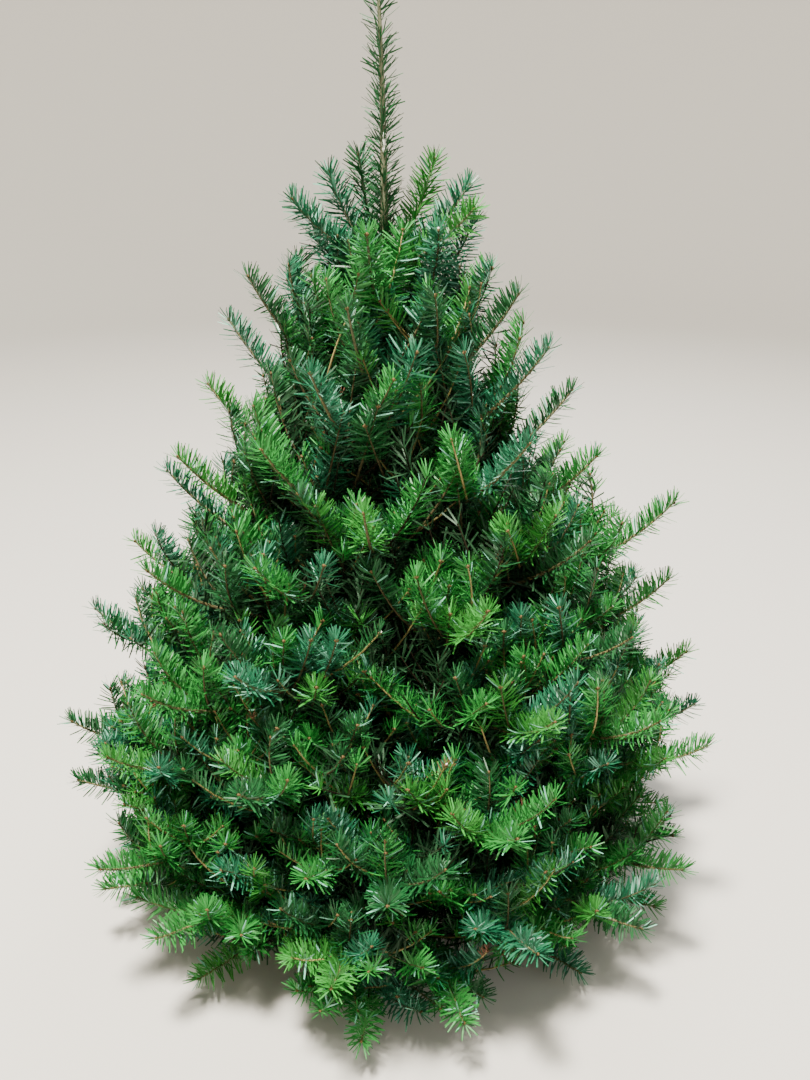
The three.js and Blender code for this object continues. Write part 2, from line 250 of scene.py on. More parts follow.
@dataclass(frozen=True)
class Crown:
    """The crown's outline, as the solids have it, and how deep needles and light reach inside it.

    Attributes:
        radius: The widest radius.
        widest: The height of the widest place.
        cone_top: The height at which the outline closes.
        bulge: How full its side is.
        foot_radius: The radius at the foot.
        foot: The height of the foot.
        lowest: The lowest height that a twig may reach.
        living: How deep inside the outline needles live, at the foot and at the top.
        lit: How deep light reaches, at the foot and at the top.
        upper: The height from which values turn to those of the top, and over which they do.
        waves: Deeper and shallower light: turns round the crown, radians a metre up, and phase.
        patchy: How strongly these waves change the depth of the light.
    """

    radius: float = 0.63
    widest: float = 0.205
    cone_top: float = 1.47
    bulge: float = 1.6
    foot_radius: float = 0.545
    foot: float = 0.045
    lowest: float = 0.058
    living: tuple[float, float] = (0.36, 0.4)
    lit: tuple[float, float] = (0.2, 0.165)
    upper: tuple[float, float] = (0.5, 0.4)
    waves: tuple[tuple[int, float, float], ...] = (
        (6, 26, 2.75),
        (11, 22, 6.0),
        (12, 32, 3.35),
        (-4, 42, 3.43),
    )
    patchy: float = 0.9

    def side(self, z: Array) -> Array:
        """Gives the outline's radius.

        Args:
            z: A height or a row of them.

        Returns:
            The radius at each.
        """
        up = np.clip((z - self.widest) / (self.cone_top - self.widest), 0, 1)
        down = np.maximum((self.widest - z) / (self.widest - self.foot), 0)
        return self.radius * (1 - up**self.bulge) - (self.radius - self.foot_radius) * down * down

    def depth(self, points: Array) -> Array:
        """Returns how far inside the outline points lie, level with it or with its foot."""
        return self.side(np.maximum(points[:, 2], self.foot)) - np.hypot(points[:, 0], points[:, 1])

    def reach(self, limits: tuple[float, float], points: Array) -> Array:
        """Returns a limit at points, given at the foot and at the top."""
        foot, top = limits
        return foot + (top - foot) * np.clip((points[:, 2] - self.upper[0]) / self.upper[1], 0, 1)

    def alive(self, points: Array) -> Array:
        """Tells at which points needles live."""
        return self.depth(points) < self.reach(self.living, points)

    def sunlit(self, points: Array) -> Array:
        """Tells which points the light reaches.

        Args:
            points: The points.

        Returns:
            True for each that is in the light.
        """
        turn = np.arctan2(points[:, 1], points[:, 0])
        wave = sum(np.sin(turns * turn + rate * points[:, 2] + phase) for turns, rate, phase in self.waves)
        return self.depth(points) < self.reach(self.lit, points) * (1 + self.patchy * wave / len(self.waves))


@dataclass(frozen=True)
class TrunkForm:
    """The trunk's line and girth, as the solids have them.

    Attributes:
        height: Height of the tree.
        foot_radius: Radius above the flare.
        tip_radius: Radius at the leader's tip.
        taper: How fast the radius falls off.
        flare: How far the root flare stands out.
        flare_height: How fast the flare fades with height.
        buttresses: Lobes round the flare.
        sway: How far the line bends from whorl to whorl.
        swings: Half turns of this bend up the trunk.
        sideways: Its share along Y.
        lean: How far the tip stands off to one side.
    """

    height: float = 1.67
    foot_radius: float = 0.027
    tip_radius: float = 0.0022
    taper: float = 1.15
    flare: float = 0.011
    flare_height: float = 0.038
    buttresses: int = 5
    sway: float = 0.005
    swings: int = 3
    sideways: float = 0.6
    lean: float = -0.014

    def centre(self, z: Array) -> Array:
        """Gives the trunk's middle.

        Args:
            z: A height or a row of them.

        Returns:
            The point at each.
        """
        up = np.asarray(z, dtype=float) / self.height
        sway = self.sway * up * np.sin(up * self.swings * math.pi)
        return np.stack([self.lean * up * up + sway, sway * self.sideways, up * self.height], axis=-1)

    def radius(self, z: Array) -> Array:
        """Returns the trunk's radius at heights z, without the flare."""
        up = np.asarray(z, dtype=float) / self.height
        return self.tip_radius + (self.foot_radius - self.tip_radius) * np.clip(1 - up, 0, 1) ** self.taper


@dataclass(frozen=True)
class BoughPlan:
    """One bough as the solids place it.

    Attributes:
        azimuth: Its direction from +X, in degrees.
        rise: Its mean rise above level, in degrees.
        length: Its length.
        seed: The seed of its own twigs.
    """

    azimuth: float
    rise: float
    length: float
    seed: int


@dataclass
class Whorl:
    """One whorl of boughs.

    Attributes:
        name: Its name in the solids.
        height: The height at which its boughs leave the trunk.
        place: Its place from the leader down, which is a fraction for boughs between two whorls.
        boughs: Its boughs.
    """

    name: str
    height: float
    place: float
    boughs: list[BoughPlan] = field(default_factory=list)


@dataclass(frozen=True)
class CrownPlan:
    """The plan of the whorls, with the solids' values.

    Attributes:
        top: Height of the first whorl.
        internode: Length of the first internode.
        shrink: Each internode's share of the one above.
        counts: Boughs in each whorl.
        between: Boughs between the first whorls.
        between_share: How far down the internode these stand.
        filling: Small boughs in each row between the lower whorls, which fill the crown up.
        filling_rows: How far down the internode these rows stand, and their turn from the whorl above.
        hem_rows: The same for the last internode.
        filling_share: Their length as a share of what the outline allows.
        rise_top: Rise of the first whorl's boughs, in degrees.
        rise_foot: Rise of the last whorl's boughs.
        rise_fade: How fast the rise falls off.
        lift: How far a bough turns up along its length.
        turn: Turn from one whorl to the next.
        azimuth_jitter: Spread of the boughs' directions.
        rise_jitter: Spread of their rise.
        bough_lengths: The shortest and the longest bough.
        halvings: How often their range is halved to find a length.
        seed: Seed of the whole crown.
        shoot_seed: Seed of the first of the top shoots.
        bough_seed: Seeds from one whorl's boughs to the next.
        long_whorl: The whorl that the long bough is in.
        long_azimuth: Its direction.
        long_stretch: How much longer it is than the outline allows.
        top_shoots: Direction, rise and length of the top whorl's shoots.
    """

    top: float = 1.19
    internode: float = 0.25
    shrink: float = 0.857
    counts: tuple[int, ...] = (6, 5, 5, 5, 5, 5, 5)
    between: tuple[int, ...] = (3, 4)
    between_share: float = 0.47
    filling: int = 5
    filling_rows: tuple[tuple[float, float], ...] = ((0.34, 38), (0.68, 14))
    hem_rows: tuple[tuple[float, float], ...] = ((0.25, 38), (0.5, 14), (0.78, 56))
    filling_share: float = 0.97
    rise_top: float = 57
    rise_foot: float = -6
    rise_fade: float = 1.15
    lift: float = 24
    turn: float = 44.5
    azimuth_jitter: float = 7
    rise_jitter: float = 2.5
    bough_lengths: tuple[float, float] = (0.06, 0.9)
    halvings: int = 30
    seed: int = 41
    shoot_seed: int = 100
    bough_seed: int = 200
    long_whorl: int = 3
    long_azimuth: float = -4
    long_stretch: float = 1.13
    top_shoots: tuple[tuple[float, float, float], ...] = (
        (5, 46, 0.203),
        (42, 58, 0.215),
        (118, 64, 0.210),
        (152, 57, 0.195),
        (188, 40, 0.197),
        (335, 36, 0.198),
    )

    def line(self, trunk: TrunkForm, height: float, azimuth: float, rise: float, length: float) -> Line:
        """Returns a bough's line from the trunk's middle, with its mean rise given."""
        start = heading(azimuth, rise - self.lift / 2)
        return Line.lifted(trunk.centre(height), start, UP, length, self.lift)

    def length_to_outline(self, trunk: TrunkForm, crown: Crown, height: float, rise: float) -> float:
        """Finds the length at which a bough's tip meets the crown's outline.

        Args:
            trunk: The trunk that it leaves.
            crown: The outline.
            height: Where it leaves the trunk.
            rise: Its mean rise.

        Returns:
            The length.
        """
        low, high = self.bough_lengths
        for _ in range(self.halvings):
            middle = (low + high) / 2
            tip = self.line(trunk, height, 0, rise, middle).tip()
            inside = math.hypot(tip[0], tip[1]) < crown.side(tip[2])
            low, high = (middle, high) if inside else (low, middle)
        return low

    def whorl(
        self,
        trunk: TrunkForm,
        crown: Crown,
        name: str,
        place: float,
        height: float,
        count: int,
        row: float | None = None,
    ) -> Whorl:
        """Plans one whorl as the solids do, number by seeded number.

        Args:
            trunk: The trunk that it leaves.
            crown: The outline that its boughs reach.
            name: Its name.
            place: Its place from the leader down.
            height: Its height.
            count: Number of its boughs.
            row: Direction of its first bough, where it isn't a whorl of the solids.

        Returns:
            The whorl.
        """
        random = SeededNumbers(self.seed + (int(2 * place) if row is None else round(100 * place)))
        share = max(0.0, 1 - place / (len(self.counts) - 1))
        rise = self.rise_foot + (self.rise_top - self.rise_foot) * share**self.rise_fade
        turn = self.long_azimuth if place == self.long_whorl else place * self.turn
        turn = turn if row is None else row
        whorl = Whorl(name, height, place)
        for i in range(count):
            azimuth = turn + 360 / count * i + random.spread(self.azimuth_jitter)
            own = rise + random.spread(self.rise_jitter)
            length = self.length_to_outline(trunk, crown, height, own)
            whorl.boughs.append(BoughPlan(azimuth, own, length, round(self.bough_seed * (place + 1)) + i))
        return whorl

    def whorls(self, trunk: TrunkForm, crown: Crown) -> list[Whorl]:
        """Plans every whorl from the leader down, and the boughs between them.

        Args:
            trunk: The trunk that they leave.
            crown: The outline that they reach.

        Returns:
            The whorls and the rows of boughs between them.
        """
        plan: list[Whorl] = []
        height = self.top
        for index, count in enumerate(self.counts):
            internode = self.internode * self.shrink**index
            plan.append(self.whorl(trunk, crown, f"{index + 1}", index, height, count))
            if index < len(self.between):
                at = height - internode * self.between_share
                plan.append(self.whorl(trunk, crown, f"{index + 1}b", index + 0.5, at, self.between[index]))
            else:
                below = len(self.counts) - 1 - index
                rows = {0: self.filling_rows[:1], 1: self.hem_rows}.get(below, self.filling_rows)
                for share, turn in rows:
                    row = (height - internode * share, self.filling, index * self.turn + turn)
                    small = self.whorl(trunk, crown, f"{index + 1}", index + share, *row)
                    for i, bough in enumerate(small.boughs):
                        small.boughs[i] = replace(bough, length=bough.length * self.filling_share)
                    plan.append(small)
            height -= internode
        plan[0].boughs = [BoughPlan(*shoot, self.shoot_seed + i) for i, shoot in enumerate(self.top_shoots)]
        boughs = next(whorl for whorl in plan if whorl.name == f"{self.long_whorl + 1}").boughs
        boughs[0] = replace(boughs[0], azimuth=self.long_azimuth, length=boughs[0].length * self.long_stretch)
        return plan


class Labelled(Enum):
    """A choice whose first value is its name in the pieces."""

    @property
    def label(self) -> str:
        """The name in the pieces."""
        return self.value[0]


class Band(Labelled):
    """The heights of the crown that are joined into pieces of their own, each with its whorls."""

    TIP = ("tip", ("1", "1b", "2"))
    SHOULDER = ("shoulder", ("2b", "3"))
    CHEST = ("chest", ("4",))
    WAIST = ("waist", ("5",))
    SKIRT = ("skirt", ("6",))
    HEM = ("hem", ("7",))

    @classmethod
    def of(cls, whorl: str) -> "Band":
        """Returns the band that a whorl belongs to."""
        return next(band for band in cls if whorl in band.value[1])


@dataclass
class Axis:
    """One woody axis of the crown, from a main bough down to the last shoot.

    Attributes:
        line: Its line.
        order: 0 for a bough, 1 for a twig on a bough, and so on.
        band: The band that it belongs to.
        root_radius: Its radius where it starts.
        tip_radius: Its radius at its tip.
        all_round: Whether its needles stand all round it, as on the steep shoots at the top.
    """

    line: Line
    order: int
    band: Band
    root_radius: float
    tip_radius: float
    all_round: bool = False


@dataclass(frozen=True)
class TwigRule:
    """How twigs leave an axis of one order.

    Attributes:
        step: Distance between pairs.
        first: Bare length before the first pair.
        last: Length of the shoot past the last pair.
        angle: Angle to the axis, in degrees.
        ratio: Length of a twig as a share of what is left of its axis.
        least: Length added to that.
        lift: How far a twig turns up.
        tilt: Spread of the twigs above and below the fan's plane.
        tilt_up: Their mean tilt above it.
        upright: Share of pairs that have a third twig on the upper side.
        skyward: How strongly twigs turn to the sky, away from the crown's foot.
    """

    step: float
    first: float
    last: float
    angle: float
    ratio: float
    least: float
    lift: float
    tilt: float
    tilt_up: float
    upright: float
    skyward: float


@dataclass(frozen=True)
class Growth:
    """Grows the axes of the crown by the rule of its solids, carried on to the finest twigs.

    Attributes:
        rules: The rule for the twigs of each order.
        uneven: Spread of a twig's place, its angle in degrees, its length, and the next step.
        upright: Tilt of a third twig and its spread, its share of a side twig's length, and its longest.
        sky: Height from which twigs turn to the sky, height over which this grows, and their lift to it.
        shortest: The shortest twig that stays.
        shrink: How a twig that leaves the outline is cut back.
        inside: The share of the outline that most twigs keep to.
        outgrown: The share of it that the strongest twigs reach, and how many of them there are.
        outline_jitter: How unevenly tips keep to the outline.
        fuller: Heights, and how much the needled crown outgrows the solids' outline there.
        curl: How far a bough's leading shoot turns up beyond the bough's own lift, in degrees.
        curling: Heights, and the share of this turn there.
        higher: The height from which leading shoots are longer, over which, and by how much.
        twig_girth: Radius of a twig at its tip, and what each metre adds at its root.
        bough_girth: The same for a bough.
        thinner: The most that a twig's girth can be of its axis's.
        steep: Place of the last whorl with needles all round its boughs.
    """

    trunk: TrunkForm
    crown: Crown
    plan: CrownPlan
    rules: tuple[TwigRule, ...] = (
        TwigRule(0.08, 0.05, 0.135, 46, 0.74, 0.03, 38, 26, 10, 0.6, 0.37),
        TwigRule(0.088, 0.05, 0.105, 45, 0.58, 0.05, 25, 24, 10, 0.35, 0.27),
        TwigRule(0.1, 0.06, 0.09, 43, 0.5, 0.05, 14, 20, 8, 0.15, 0.2),
    )
    uneven: tuple[float, float, float, float] = (0.3, 8, 0.18, 0.2)
    upright: tuple[float, float, float, float] = (72.0, 14, 0.8, 0.17)
    sky: tuple[float, float, float] = (0.12, 0.45, 0.35)
    shortest: float = 0.06
    shrink: float = 0.93
    inside: float = 0.985
    outgrown: tuple[float, float] = (1.055, 0.13)
    outline_jitter: float = 0.05
    fuller: tuple[tuple[float, ...], tuple[float, ...]] = (
        (0.22, 0.35, 0.6, 0.72, 0.98, 1.06, 1.3),
        (1.0, 1.045, 1.045, 1.0, 1.0, 1.07, 1.03),
    )
    curl: float = 25
    curling: tuple[tuple[float, ...], tuple[float, ...]] = ((0.1, 0.4, 0.8, 1.0), (0.25, 1.0, 0.6, 0.15))
    higher: tuple[float, float, float] = (0.45, 0.4, 0.5)
    twig_girth: tuple[float, float] = (0.0011, 0.0085)
    bough_girth: tuple[float, float] = (0.0016, 0.0105)
    thinner: float = 0.8
    steep: float = 0.9

    def fullness(self, z: float) -> float:
        """Returns how much the needled crown outgrows the solids' outline at a height."""
        return float(np.interp(z, *self.fuller))

    def leading(self, line: Line, rule: TwigRule) -> float:
        """Returns the length of a line's leading shoot, which is longer high in the crown."""
        high = (float(line.tip()[2]) - self.higher[0]) / self.higher[1]
        return rule.last * (1 + self.higher[2] * min(1.0, max(0.0, high)))

    def led(self, line: Line) -> Line:
        """Lengthens a bough where the crown is fuller, and turns its leading shoot up to the light.

        Args:
            line: The bough's line.

        Returns:
            Its line as the needles show it.
        """
        line = replace(line, length=line.length * self.fullness(line.tip()[2]))
        shoot = self.leading(line, self.rules[0])
        turn = math.radians(self.curl * np.interp(line.tip()[2], *self.curling))
        return replace(line, knee=line.length - shoot, curl=turn / shoot)

    def twigs(self, line: Line, rule: TwigRule, random: SeededNumbers) -> Iterator[Line]:
        """Gives the twigs that leave a line in pairs, shorter towards its tip.

        Args:
            line: The line that they leave.
            rule: How they leave it.
            random: The seeded numbers of the bough.

        Yields:
            The line of each twig.
        """
        place, turn, size, step = self.uneven
        steep, wobble, shorter, longest = self.upright
        low, over, lifting = self.sky
        s = line.length - self.leading(line, rule)
        while s > rule.first:
            sides = [(1.0, rule.tilt_up, rule.tilt), (-1.0, rule.tilt_up, rule.tilt)]
            if random() < rule.upright:
                sides.append((1.0 if random() < 0.5 else -1.0, steep, wobble))
            for hand, mean_tilt, spread in sides:
                at = max(rule.first, s + random.spread(rule.step * place))
                angle = math.radians(rule.angle + random.spread(turn))
                tilt = math.radians(mean_tilt + random.spread(spread))
                length = (rule.least + rule.ratio * (line.length - at)) * (1 + random.spread(size))
                if mean_tilt == steep:
                    length = min(length * shorter, longest)
                start, tangent, normal = line.points(at), line.tangents(at), line.normals(at)
                out = hand * math.cos(tilt) * np.cross(normal, tangent) + math.sin(tilt) * normal
                open_sky = min(1.0, max(0.0, (start[2] - low) / over))
                along = math.cos(angle) * tangent + math.sin(angle) * out + open_sky * rule.skyward * UP
                yield Line.lifted(start, along, normal + lifting * UP, length, rule.lift)
            s -= rule.step * (1 + random.spread(step))

    def fitted(self, line: Line, limit: float) -> Line | None:
        """Cuts a twig back until its tip is inside the outline.

        Args:
            line: The twig's line.
            limit: The share of the outline that it keeps to.

        Returns:
            The shorter line, or None where nothing is left of it.
        """
        length = line.length
        while length >= self.shortest:
            tip = line.points(length)
            inside = math.hypot(tip[0], tip[1]) < self.crown.side(tip[2]) * limit * self.fullness(tip[2])
            if inside and tip[2] > self.crown.lowest:
                return replace(line, length=length)
            length *= self.shrink
        return None

    def branch(self, axis: Axis, random: SeededNumbers) -> Iterator[Axis]:
        """Gives an axis and all that grows on it.

        Args:
            axis: The axis.
            random: The seeded numbers of the bough.

        Yields:
            Each axis.
        """
        yield axis
        if axis.order >= len(self.rules):
            return
        tip_radius, growing = self.twig_girth
        for twig in self.twigs(axis.line, self.rules[axis.order], random):
            limit = self.outgrown[0] if random() < self.outgrown[1] else self.inside
            line = self.fitted(twig, limit + random.spread(self.outline_jitter))
            if line is None or not self.crown.alive(line.points([line.length]))[0]:
                continue
            radius = min(tip_radius + growing * line.length, axis.root_radius * self.thinner)
            all_round = axis.all_round and axis.order < 1
            child = Axis(line, axis.order + 1, axis.band, radius, tip_radius, all_round)
            yield from self.branch(child, random)

    def grow(self) -> list[Axis]:
        """Grows the whole crown.

        Returns:
            Every axis, boughs first within each bough's own fan.
        """
        axes: list[Axis] = []
        tip_radius, growing = self.bough_girth
        for whorl in self.plan.whorls(self.trunk, self.crown):
            for bough in whorl.boughs:
                line = self.plan.line(self.trunk, whorl.height, bough.azimuth, bough.rise, bough.length)
                line = line if whorl.place == 0 else self.led(line)
                girth = tip_radius + growing * bough.length
                axis = Axis(line, 0, Band.of(whorl.name), girth, tip_radius, whorl.place < self.steep)
                random = SeededNumbers(bough.seed)
                axes.extend([axis] if whorl.place == 0 else self.branch(axis, random))
        return axes


class Graph:
    """A node tree being built, for a shader or for geometry."""

    def __init__(self, tree: bpy.types.NodeTree) -> None:
        """Takes the tree to build in."""
        self.tree = tree

    def add(self, kind: str, settings: dict | None = None, **links: object) -> bpy.types.Node:
        """Adds a node.

        Args:
            kind: Blender's name for the node.
            settings: Its own properties.
            **links: Input sockets by name, with _ for a space, each a socket to link or a value to set.

        Returns:
            The node.
        """
        node = self.tree.nodes.new(kind)
        for name, value in (settings or {}).items():
            setattr(node, name, value)
        for name, value in links.items():
            socket = node.inputs[int(name[1:])] if name[1:].isdigit() else node.inputs[name.replace("_", " ")]
            if isinstance(value, bpy.types.NodeSocket):
                self.tree.links.new(value, socket)
            else:
                socket.default_value = value
        return node


class GeometryTree(Graph):
    """A Geometry Nodes tree with named inputs that makes one kind of repeated piece."""

    def __init__(self, name: str, sizes: dict[str, float]) -> None:
        """Starts the tree.

        Args:
            name: Its name.
            sizes: The named sizes that the modifier sets, with their first values.
        """
        super().__init__(bpy.data.node_groups.new(name, "GeometryNodeTree"))
        face = self.tree.interface
        face.new_socket("Geometry", in_out="INPUT", socket_type="NodeSocketGeometry")
        self.sockets = {}
        for key, value in sizes.items():
            self.sockets[key] = face.new_socket(key, in_out="INPUT", socket_type="NodeSocketFloat")
            self.sockets[key].default_value = value
        self.sockets["Finish"] = face.new_socket("Finish", in_out="INPUT", socket_type="NodeSocketMaterial")
        face.new_socket("Geometry", in_out="OUTPUT", socket_type="NodeSocketGeometry")
        self.given = self.tree.nodes.new("NodeGroupInput").outputs

    def named(self, name: str, data_type: str) -> bpy.types.NodeSocket:
        """Reads a named attribute of the points."""
        return self.add("GeometryNodeInputNamedAttribute", {"data_type": data_type}, Name=name).outputs[0]

    def math(self, operation: str, *values: object) -> bpy.types.NodeSocket:
        """Adds a sum of one or more values."""
        links = {f"_{i}": value for i, value in enumerate(values)}
        return self.add("ShaderNodeMath", {"operation": operation}, **links).outputs[0]

    def scatter(self, instance: bpy.types.NodeSocket, primary: str, secondary: str) -> None:
        """Sets a piece on each point and ends the tree.

        Args:
            instance: The piece.
            primary: Its axis that follows the points' along attribute.
            secondary: Its axis that follows their face attribute.
        """
        axes = {"primary_axis": primary, "secondary_axis": secondary}
        along, face = self.named("along", "FLOAT_VECTOR"), self.named("face", "FLOAT_VECTOR")
        turn = self.add("FunctionNodeAxesToRotation", axes, Primary_Axis=along, Secondary_Axis=face)
        rows = {"Points": self.given["Geometry"], "Instance": instance, "Rotation": turn.outputs[0]}
        rows["Scale"] = self.named("size", "FLOAT")
        self.end(self.add("GeometryNodeInstanceOnPoints", **rows).outputs[0])

    def end(self, geometry: bpy.types.NodeSocket) -> None:
        """Ends the tree in Realize Instances and Set Material.

        Args:
            geometry: What the tree has made.
        """
        solid = self.add("GeometryNodeRealizeInstances", Geometry=geometry).outputs[0]
        smooth = self.add("GeometryNodeSetShadeSmooth", Geometry=solid, Shade_Smooth=True).outputs[0]
        dressed = self.add("GeometryNodeSetMaterial", Geometry=smooth, Material=self.given["Finish"])
        self.tree.links.new(dressed.outputs[0], self.tree.nodes.new("NodeGroupOutput").inputs[0])

    def make(
        self, name: str, source: bpy.types.Mesh, sizes: dict[str, float], finish: bpy.types.Material
    ) -> bpy.types.Object:
        """Runs the tree on a mesh and keeps the result as a plain mesh.

        Args:
            name: Name of the piece.
            source: The points or edges that the tree reads.
            sizes: Values for the tree's named inputs.
            finish: Its material.

        Returns:
            The finished piece.
        """
        holder = link(name + "_points", source)
        modifier = holder.modifiers.new("grow", "NODES")
        modifier.node_group = self.tree
        for key, value in sizes.items():
            modifier[self.sockets[key].identifier] = value
        modifier[self.sockets["Finish"].identifier] = finish
        evaluated = holder.evaluated_get(bpy.context.evaluated_depsgraph_get())
        mesh = bpy.data.meshes.new_from_object(evaluated)
        holder.modifiers.clear()
        bpy.data.objects.remove(holder)
        bpy.data.meshes.remove(source)
        mesh.name = name
        return link(name, mesh)


def needle_tree(joints: int) -> GeometryTree:
    """Builds the tree that sets a needle on each point.

    Args:
        joints: Rows of points along a needle, 3 to let it bend and taper and 2 for a plain one.

    Returns:
        The tree, with inputs for a needle's length, width, waist and curve.
    """
    tree = GeometryTree(f"needles_{joints}", {"Length": 0.026, "Width": 0.002, "Waist": 0.5, "Curve": 0.12})
    given = tree.given
    grid = {"Size_X": given["Width"], "Size_Y": given["Length"], "Vertices_X": 2, "Vertices_Y": joints}
    blade = tree.add("GeometryNodeMeshGrid", **grid).outputs[0]
    place = tree.add("ShaderNodeSeparateXYZ", _0=tree.add("GeometryNodeInputPosition").outputs[0]).outputs
    share = tree.math("ADD", tree.math("DIVIDE", place[1], given["Length"]), 0.5)
    off_middle = tree.math("ABSOLUTE", tree.math("SUBTRACT", tree.math("MULTIPLY", share, 2.0), 1.0))
    slim = tree.math("SUBTRACT", 1.0, tree.math("MULTIPLY", off_middle, given["Waist"]))
    bow = tree.math("MULTIPLY", given["Curve"], given["Length"])
    rise = tree.math("MULTIPLY", tree.math("POWER", share, 2.0), bow)
    x, y = tree.math("MULTIPLY", place[0], slim), tree.math("MULTIPLY", share, given["Length"])
    bent = tree.add("ShaderNodeCombineXYZ", X=x, Y=y, Z=rise).outputs[0]
    tree.scatter(tree.add("GeometryNodeSetPosition", Geometry=blade, Position=bent).outputs[0], "Y", "Z")
    return tree


def bud_tree() -> GeometryTree:
    """Builds the tree that sets a pointed bud on each point.

    Returns:
        The tree, with inputs for a bud's radius and its length in radii.
    """
    tree = GeometryTree("buds", {"Radius": 0.0017, "Stretch": 1.7})
    ball = tree.add("GeometryNodeMeshIcoSphere", Radius=tree.given["Radius"], Subdivisions=1).outputs[0]
    longer = tree.add("ShaderNodeCombineXYZ", X=1.0, Y=1.0, Z=tree.given["Stretch"]).outputs[0]
    tree.scatter(tree.add("GeometryNodeTransform", Geometry=ball, Scale=longer).outputs[0], "Z", "X")
    return tree


def limb_tree(sides: int) -> GeometryTree:
    """Builds the tree that runs a tapering limb along each path.

    Args:
        sides: How many sides a limb has.

    Returns:
        The tree, with an input that thickens every limb alike.
    """
    tree = GeometryTree(f"limbs_{sides}", {"Girth": 1.0})
    path = tree.add("GeometryNodeMeshToCurve", Mesh=tree.given["Geometry"]).outputs[0]
    ring = tree.add("GeometryNodeCurvePrimitiveCircle", Resolution=sides, Radius=1.0).outputs[0]
    girth = tree.math("MULTIPLY", tree.named("thickness", "FLOAT"), tree.given["Girth"])
    limb = {"Curve": path, "Profile_Curve": ring, "Scale": girth, "Fill_Caps": True}
    tree.end(tree.add("GeometryNodeCurveToMesh", **limb).outputs[0])
    return tree


def point_mesh(points: Array, **attributes: Array) -> bpy.types.Mesh:
    """Makes a mesh of bare points with named attributes.

    Args:
        points: The points.
        **attributes: A row of vectors or of numbers for each name.

    Returns:
        The mesh.
    """
    mesh = bpy.data.meshes.new("points")
    mesh.vertices.add(len(points))
    mesh.vertices.foreach_set("co", np.asarray(points, dtype=np.float32).ravel())
    for name, values in attributes.items():
        kind, key = ("FLOAT_VECTOR", "vector") if values.ndim == 2 else ("FLOAT", "value")
        mesh.attributes.new(name, kind, "POINT").data.foreach_set(key, values.astype(np.float32).ravel())
    return mesh


@dataclass(frozen=True)
class Plain:
    """A finish of one colour, as small pieces that are dealt out by spray have it.

    Attributes:
        name: The real material.
        colour: Its colour in sRGB.
        roughness: Its roughness.
        coat: How much of a clear waxy coat it has.
        gloss: How strongly it mirrors light.
    """

    name: str
    colour: str
    roughness: float
    coat: float = 0.0
    gloss: float = 0.5

    def material(self) -> bpy.types.Material:
        """Makes the material, or gives the one already made.

        Returns:
            The material.
        """
        made = bpy.data.materials.get(self.name)
        if made is not None:
            return made
        made = bpy.data.materials.new(self.name)
        made.use_nodes = True
        sockets = made.node_tree.nodes["Principled BSDF"].inputs
        sockets["Base Color"].default_value = linear(self.colour)
        sockets["Roughness"].default_value = self.roughness
        sockets["Coat Weight"].default_value = self.coat
        sockets["Specular IOR Level"].default_value = self.gloss
        sockets["Coat Roughness"].default_value = 0.3
        made.diffuse_color = linear(self.colour)
        return made


# dull brown scales, which stay darker than the needles round them
BUD_SCALES = Plain("resinous_bud_scales", "#5A462B", 0.7, 0.0, 0.15)
# olive brown bark of the last shoots, with a faint sheen
YOUNG_TWIG = Plain("young_twig_bark", "#665D33", 0.7, 0.0, 0.3)
# darker and duller bark of the older twigs
OLD_TWIG = Plain("old_twig_bark", "#474026", 0.85, 0.0, 0.3)
# painted shade: nearly black bark for the twigs that the light doesn't reach, so that the hollows of the
# crown stay dark
SHADE_PAINTED_TWIG = Plain("shaded_twig_bark", "#211C12", 0.9, 0.0, 0.1)
# straw coloured bark, the thin light lines between the needles
PALE_TWIG = Plain("pale_twig_bark", "#9C8A57", 0.6)
# hard milky drops with a bright glint
RESIN = Plain("dried_resin", "#E9E6DA", 0.3, 0.5)
# flat warm grey without a mirror image
FLOOR = Plain("matt_floor", "#BAB7B0", 0.9)


class NeedleTone(Labelled):
    """The greens of the needles, each with its colour, roughness and share of the sprays."""

    DEEP = ("deep", "#134C24", 0.5, 0.28)
    LEAF = ("leaf", "#226F2B", 0.48, 0.38)
    BLUISH = ("bluish", "#1A5A3D", 0.42, 0.20)
    FRESH = ("fresh", "#2D772B", 0.48, 0.14)
    # painted glint: a pale bluish green, given to some of the needles that the light reaches
    PALE = ("pale", "#68A48C", 0.38, 0.0)
    # painted shade: a dark copy of the needles' green, for needles that the light doesn't reach
    SHADED = ("shaded", "#10371A", 0.65, 0.0)
    DRY = ("dry", "#6C4630", 0.7, 0.0)

    @classmethod
    def deal(cls, rng: np.random.Generator) -> "NeedleTone":
        """Deals a tone to one spray."""
        tones = list(cls)
        return tones[int(rng.choice(len(tones), p=[tone.value[3] for tone in tones]))]

    def material(self) -> bpy.types.Material:
        """Makes the needles' material, with the thin wax of their upper side."""
        label, colour, roughness, _ = self.value
        return Plain(f"{label}_fir_needle", colour, roughness, 0.05, 0.35).material()


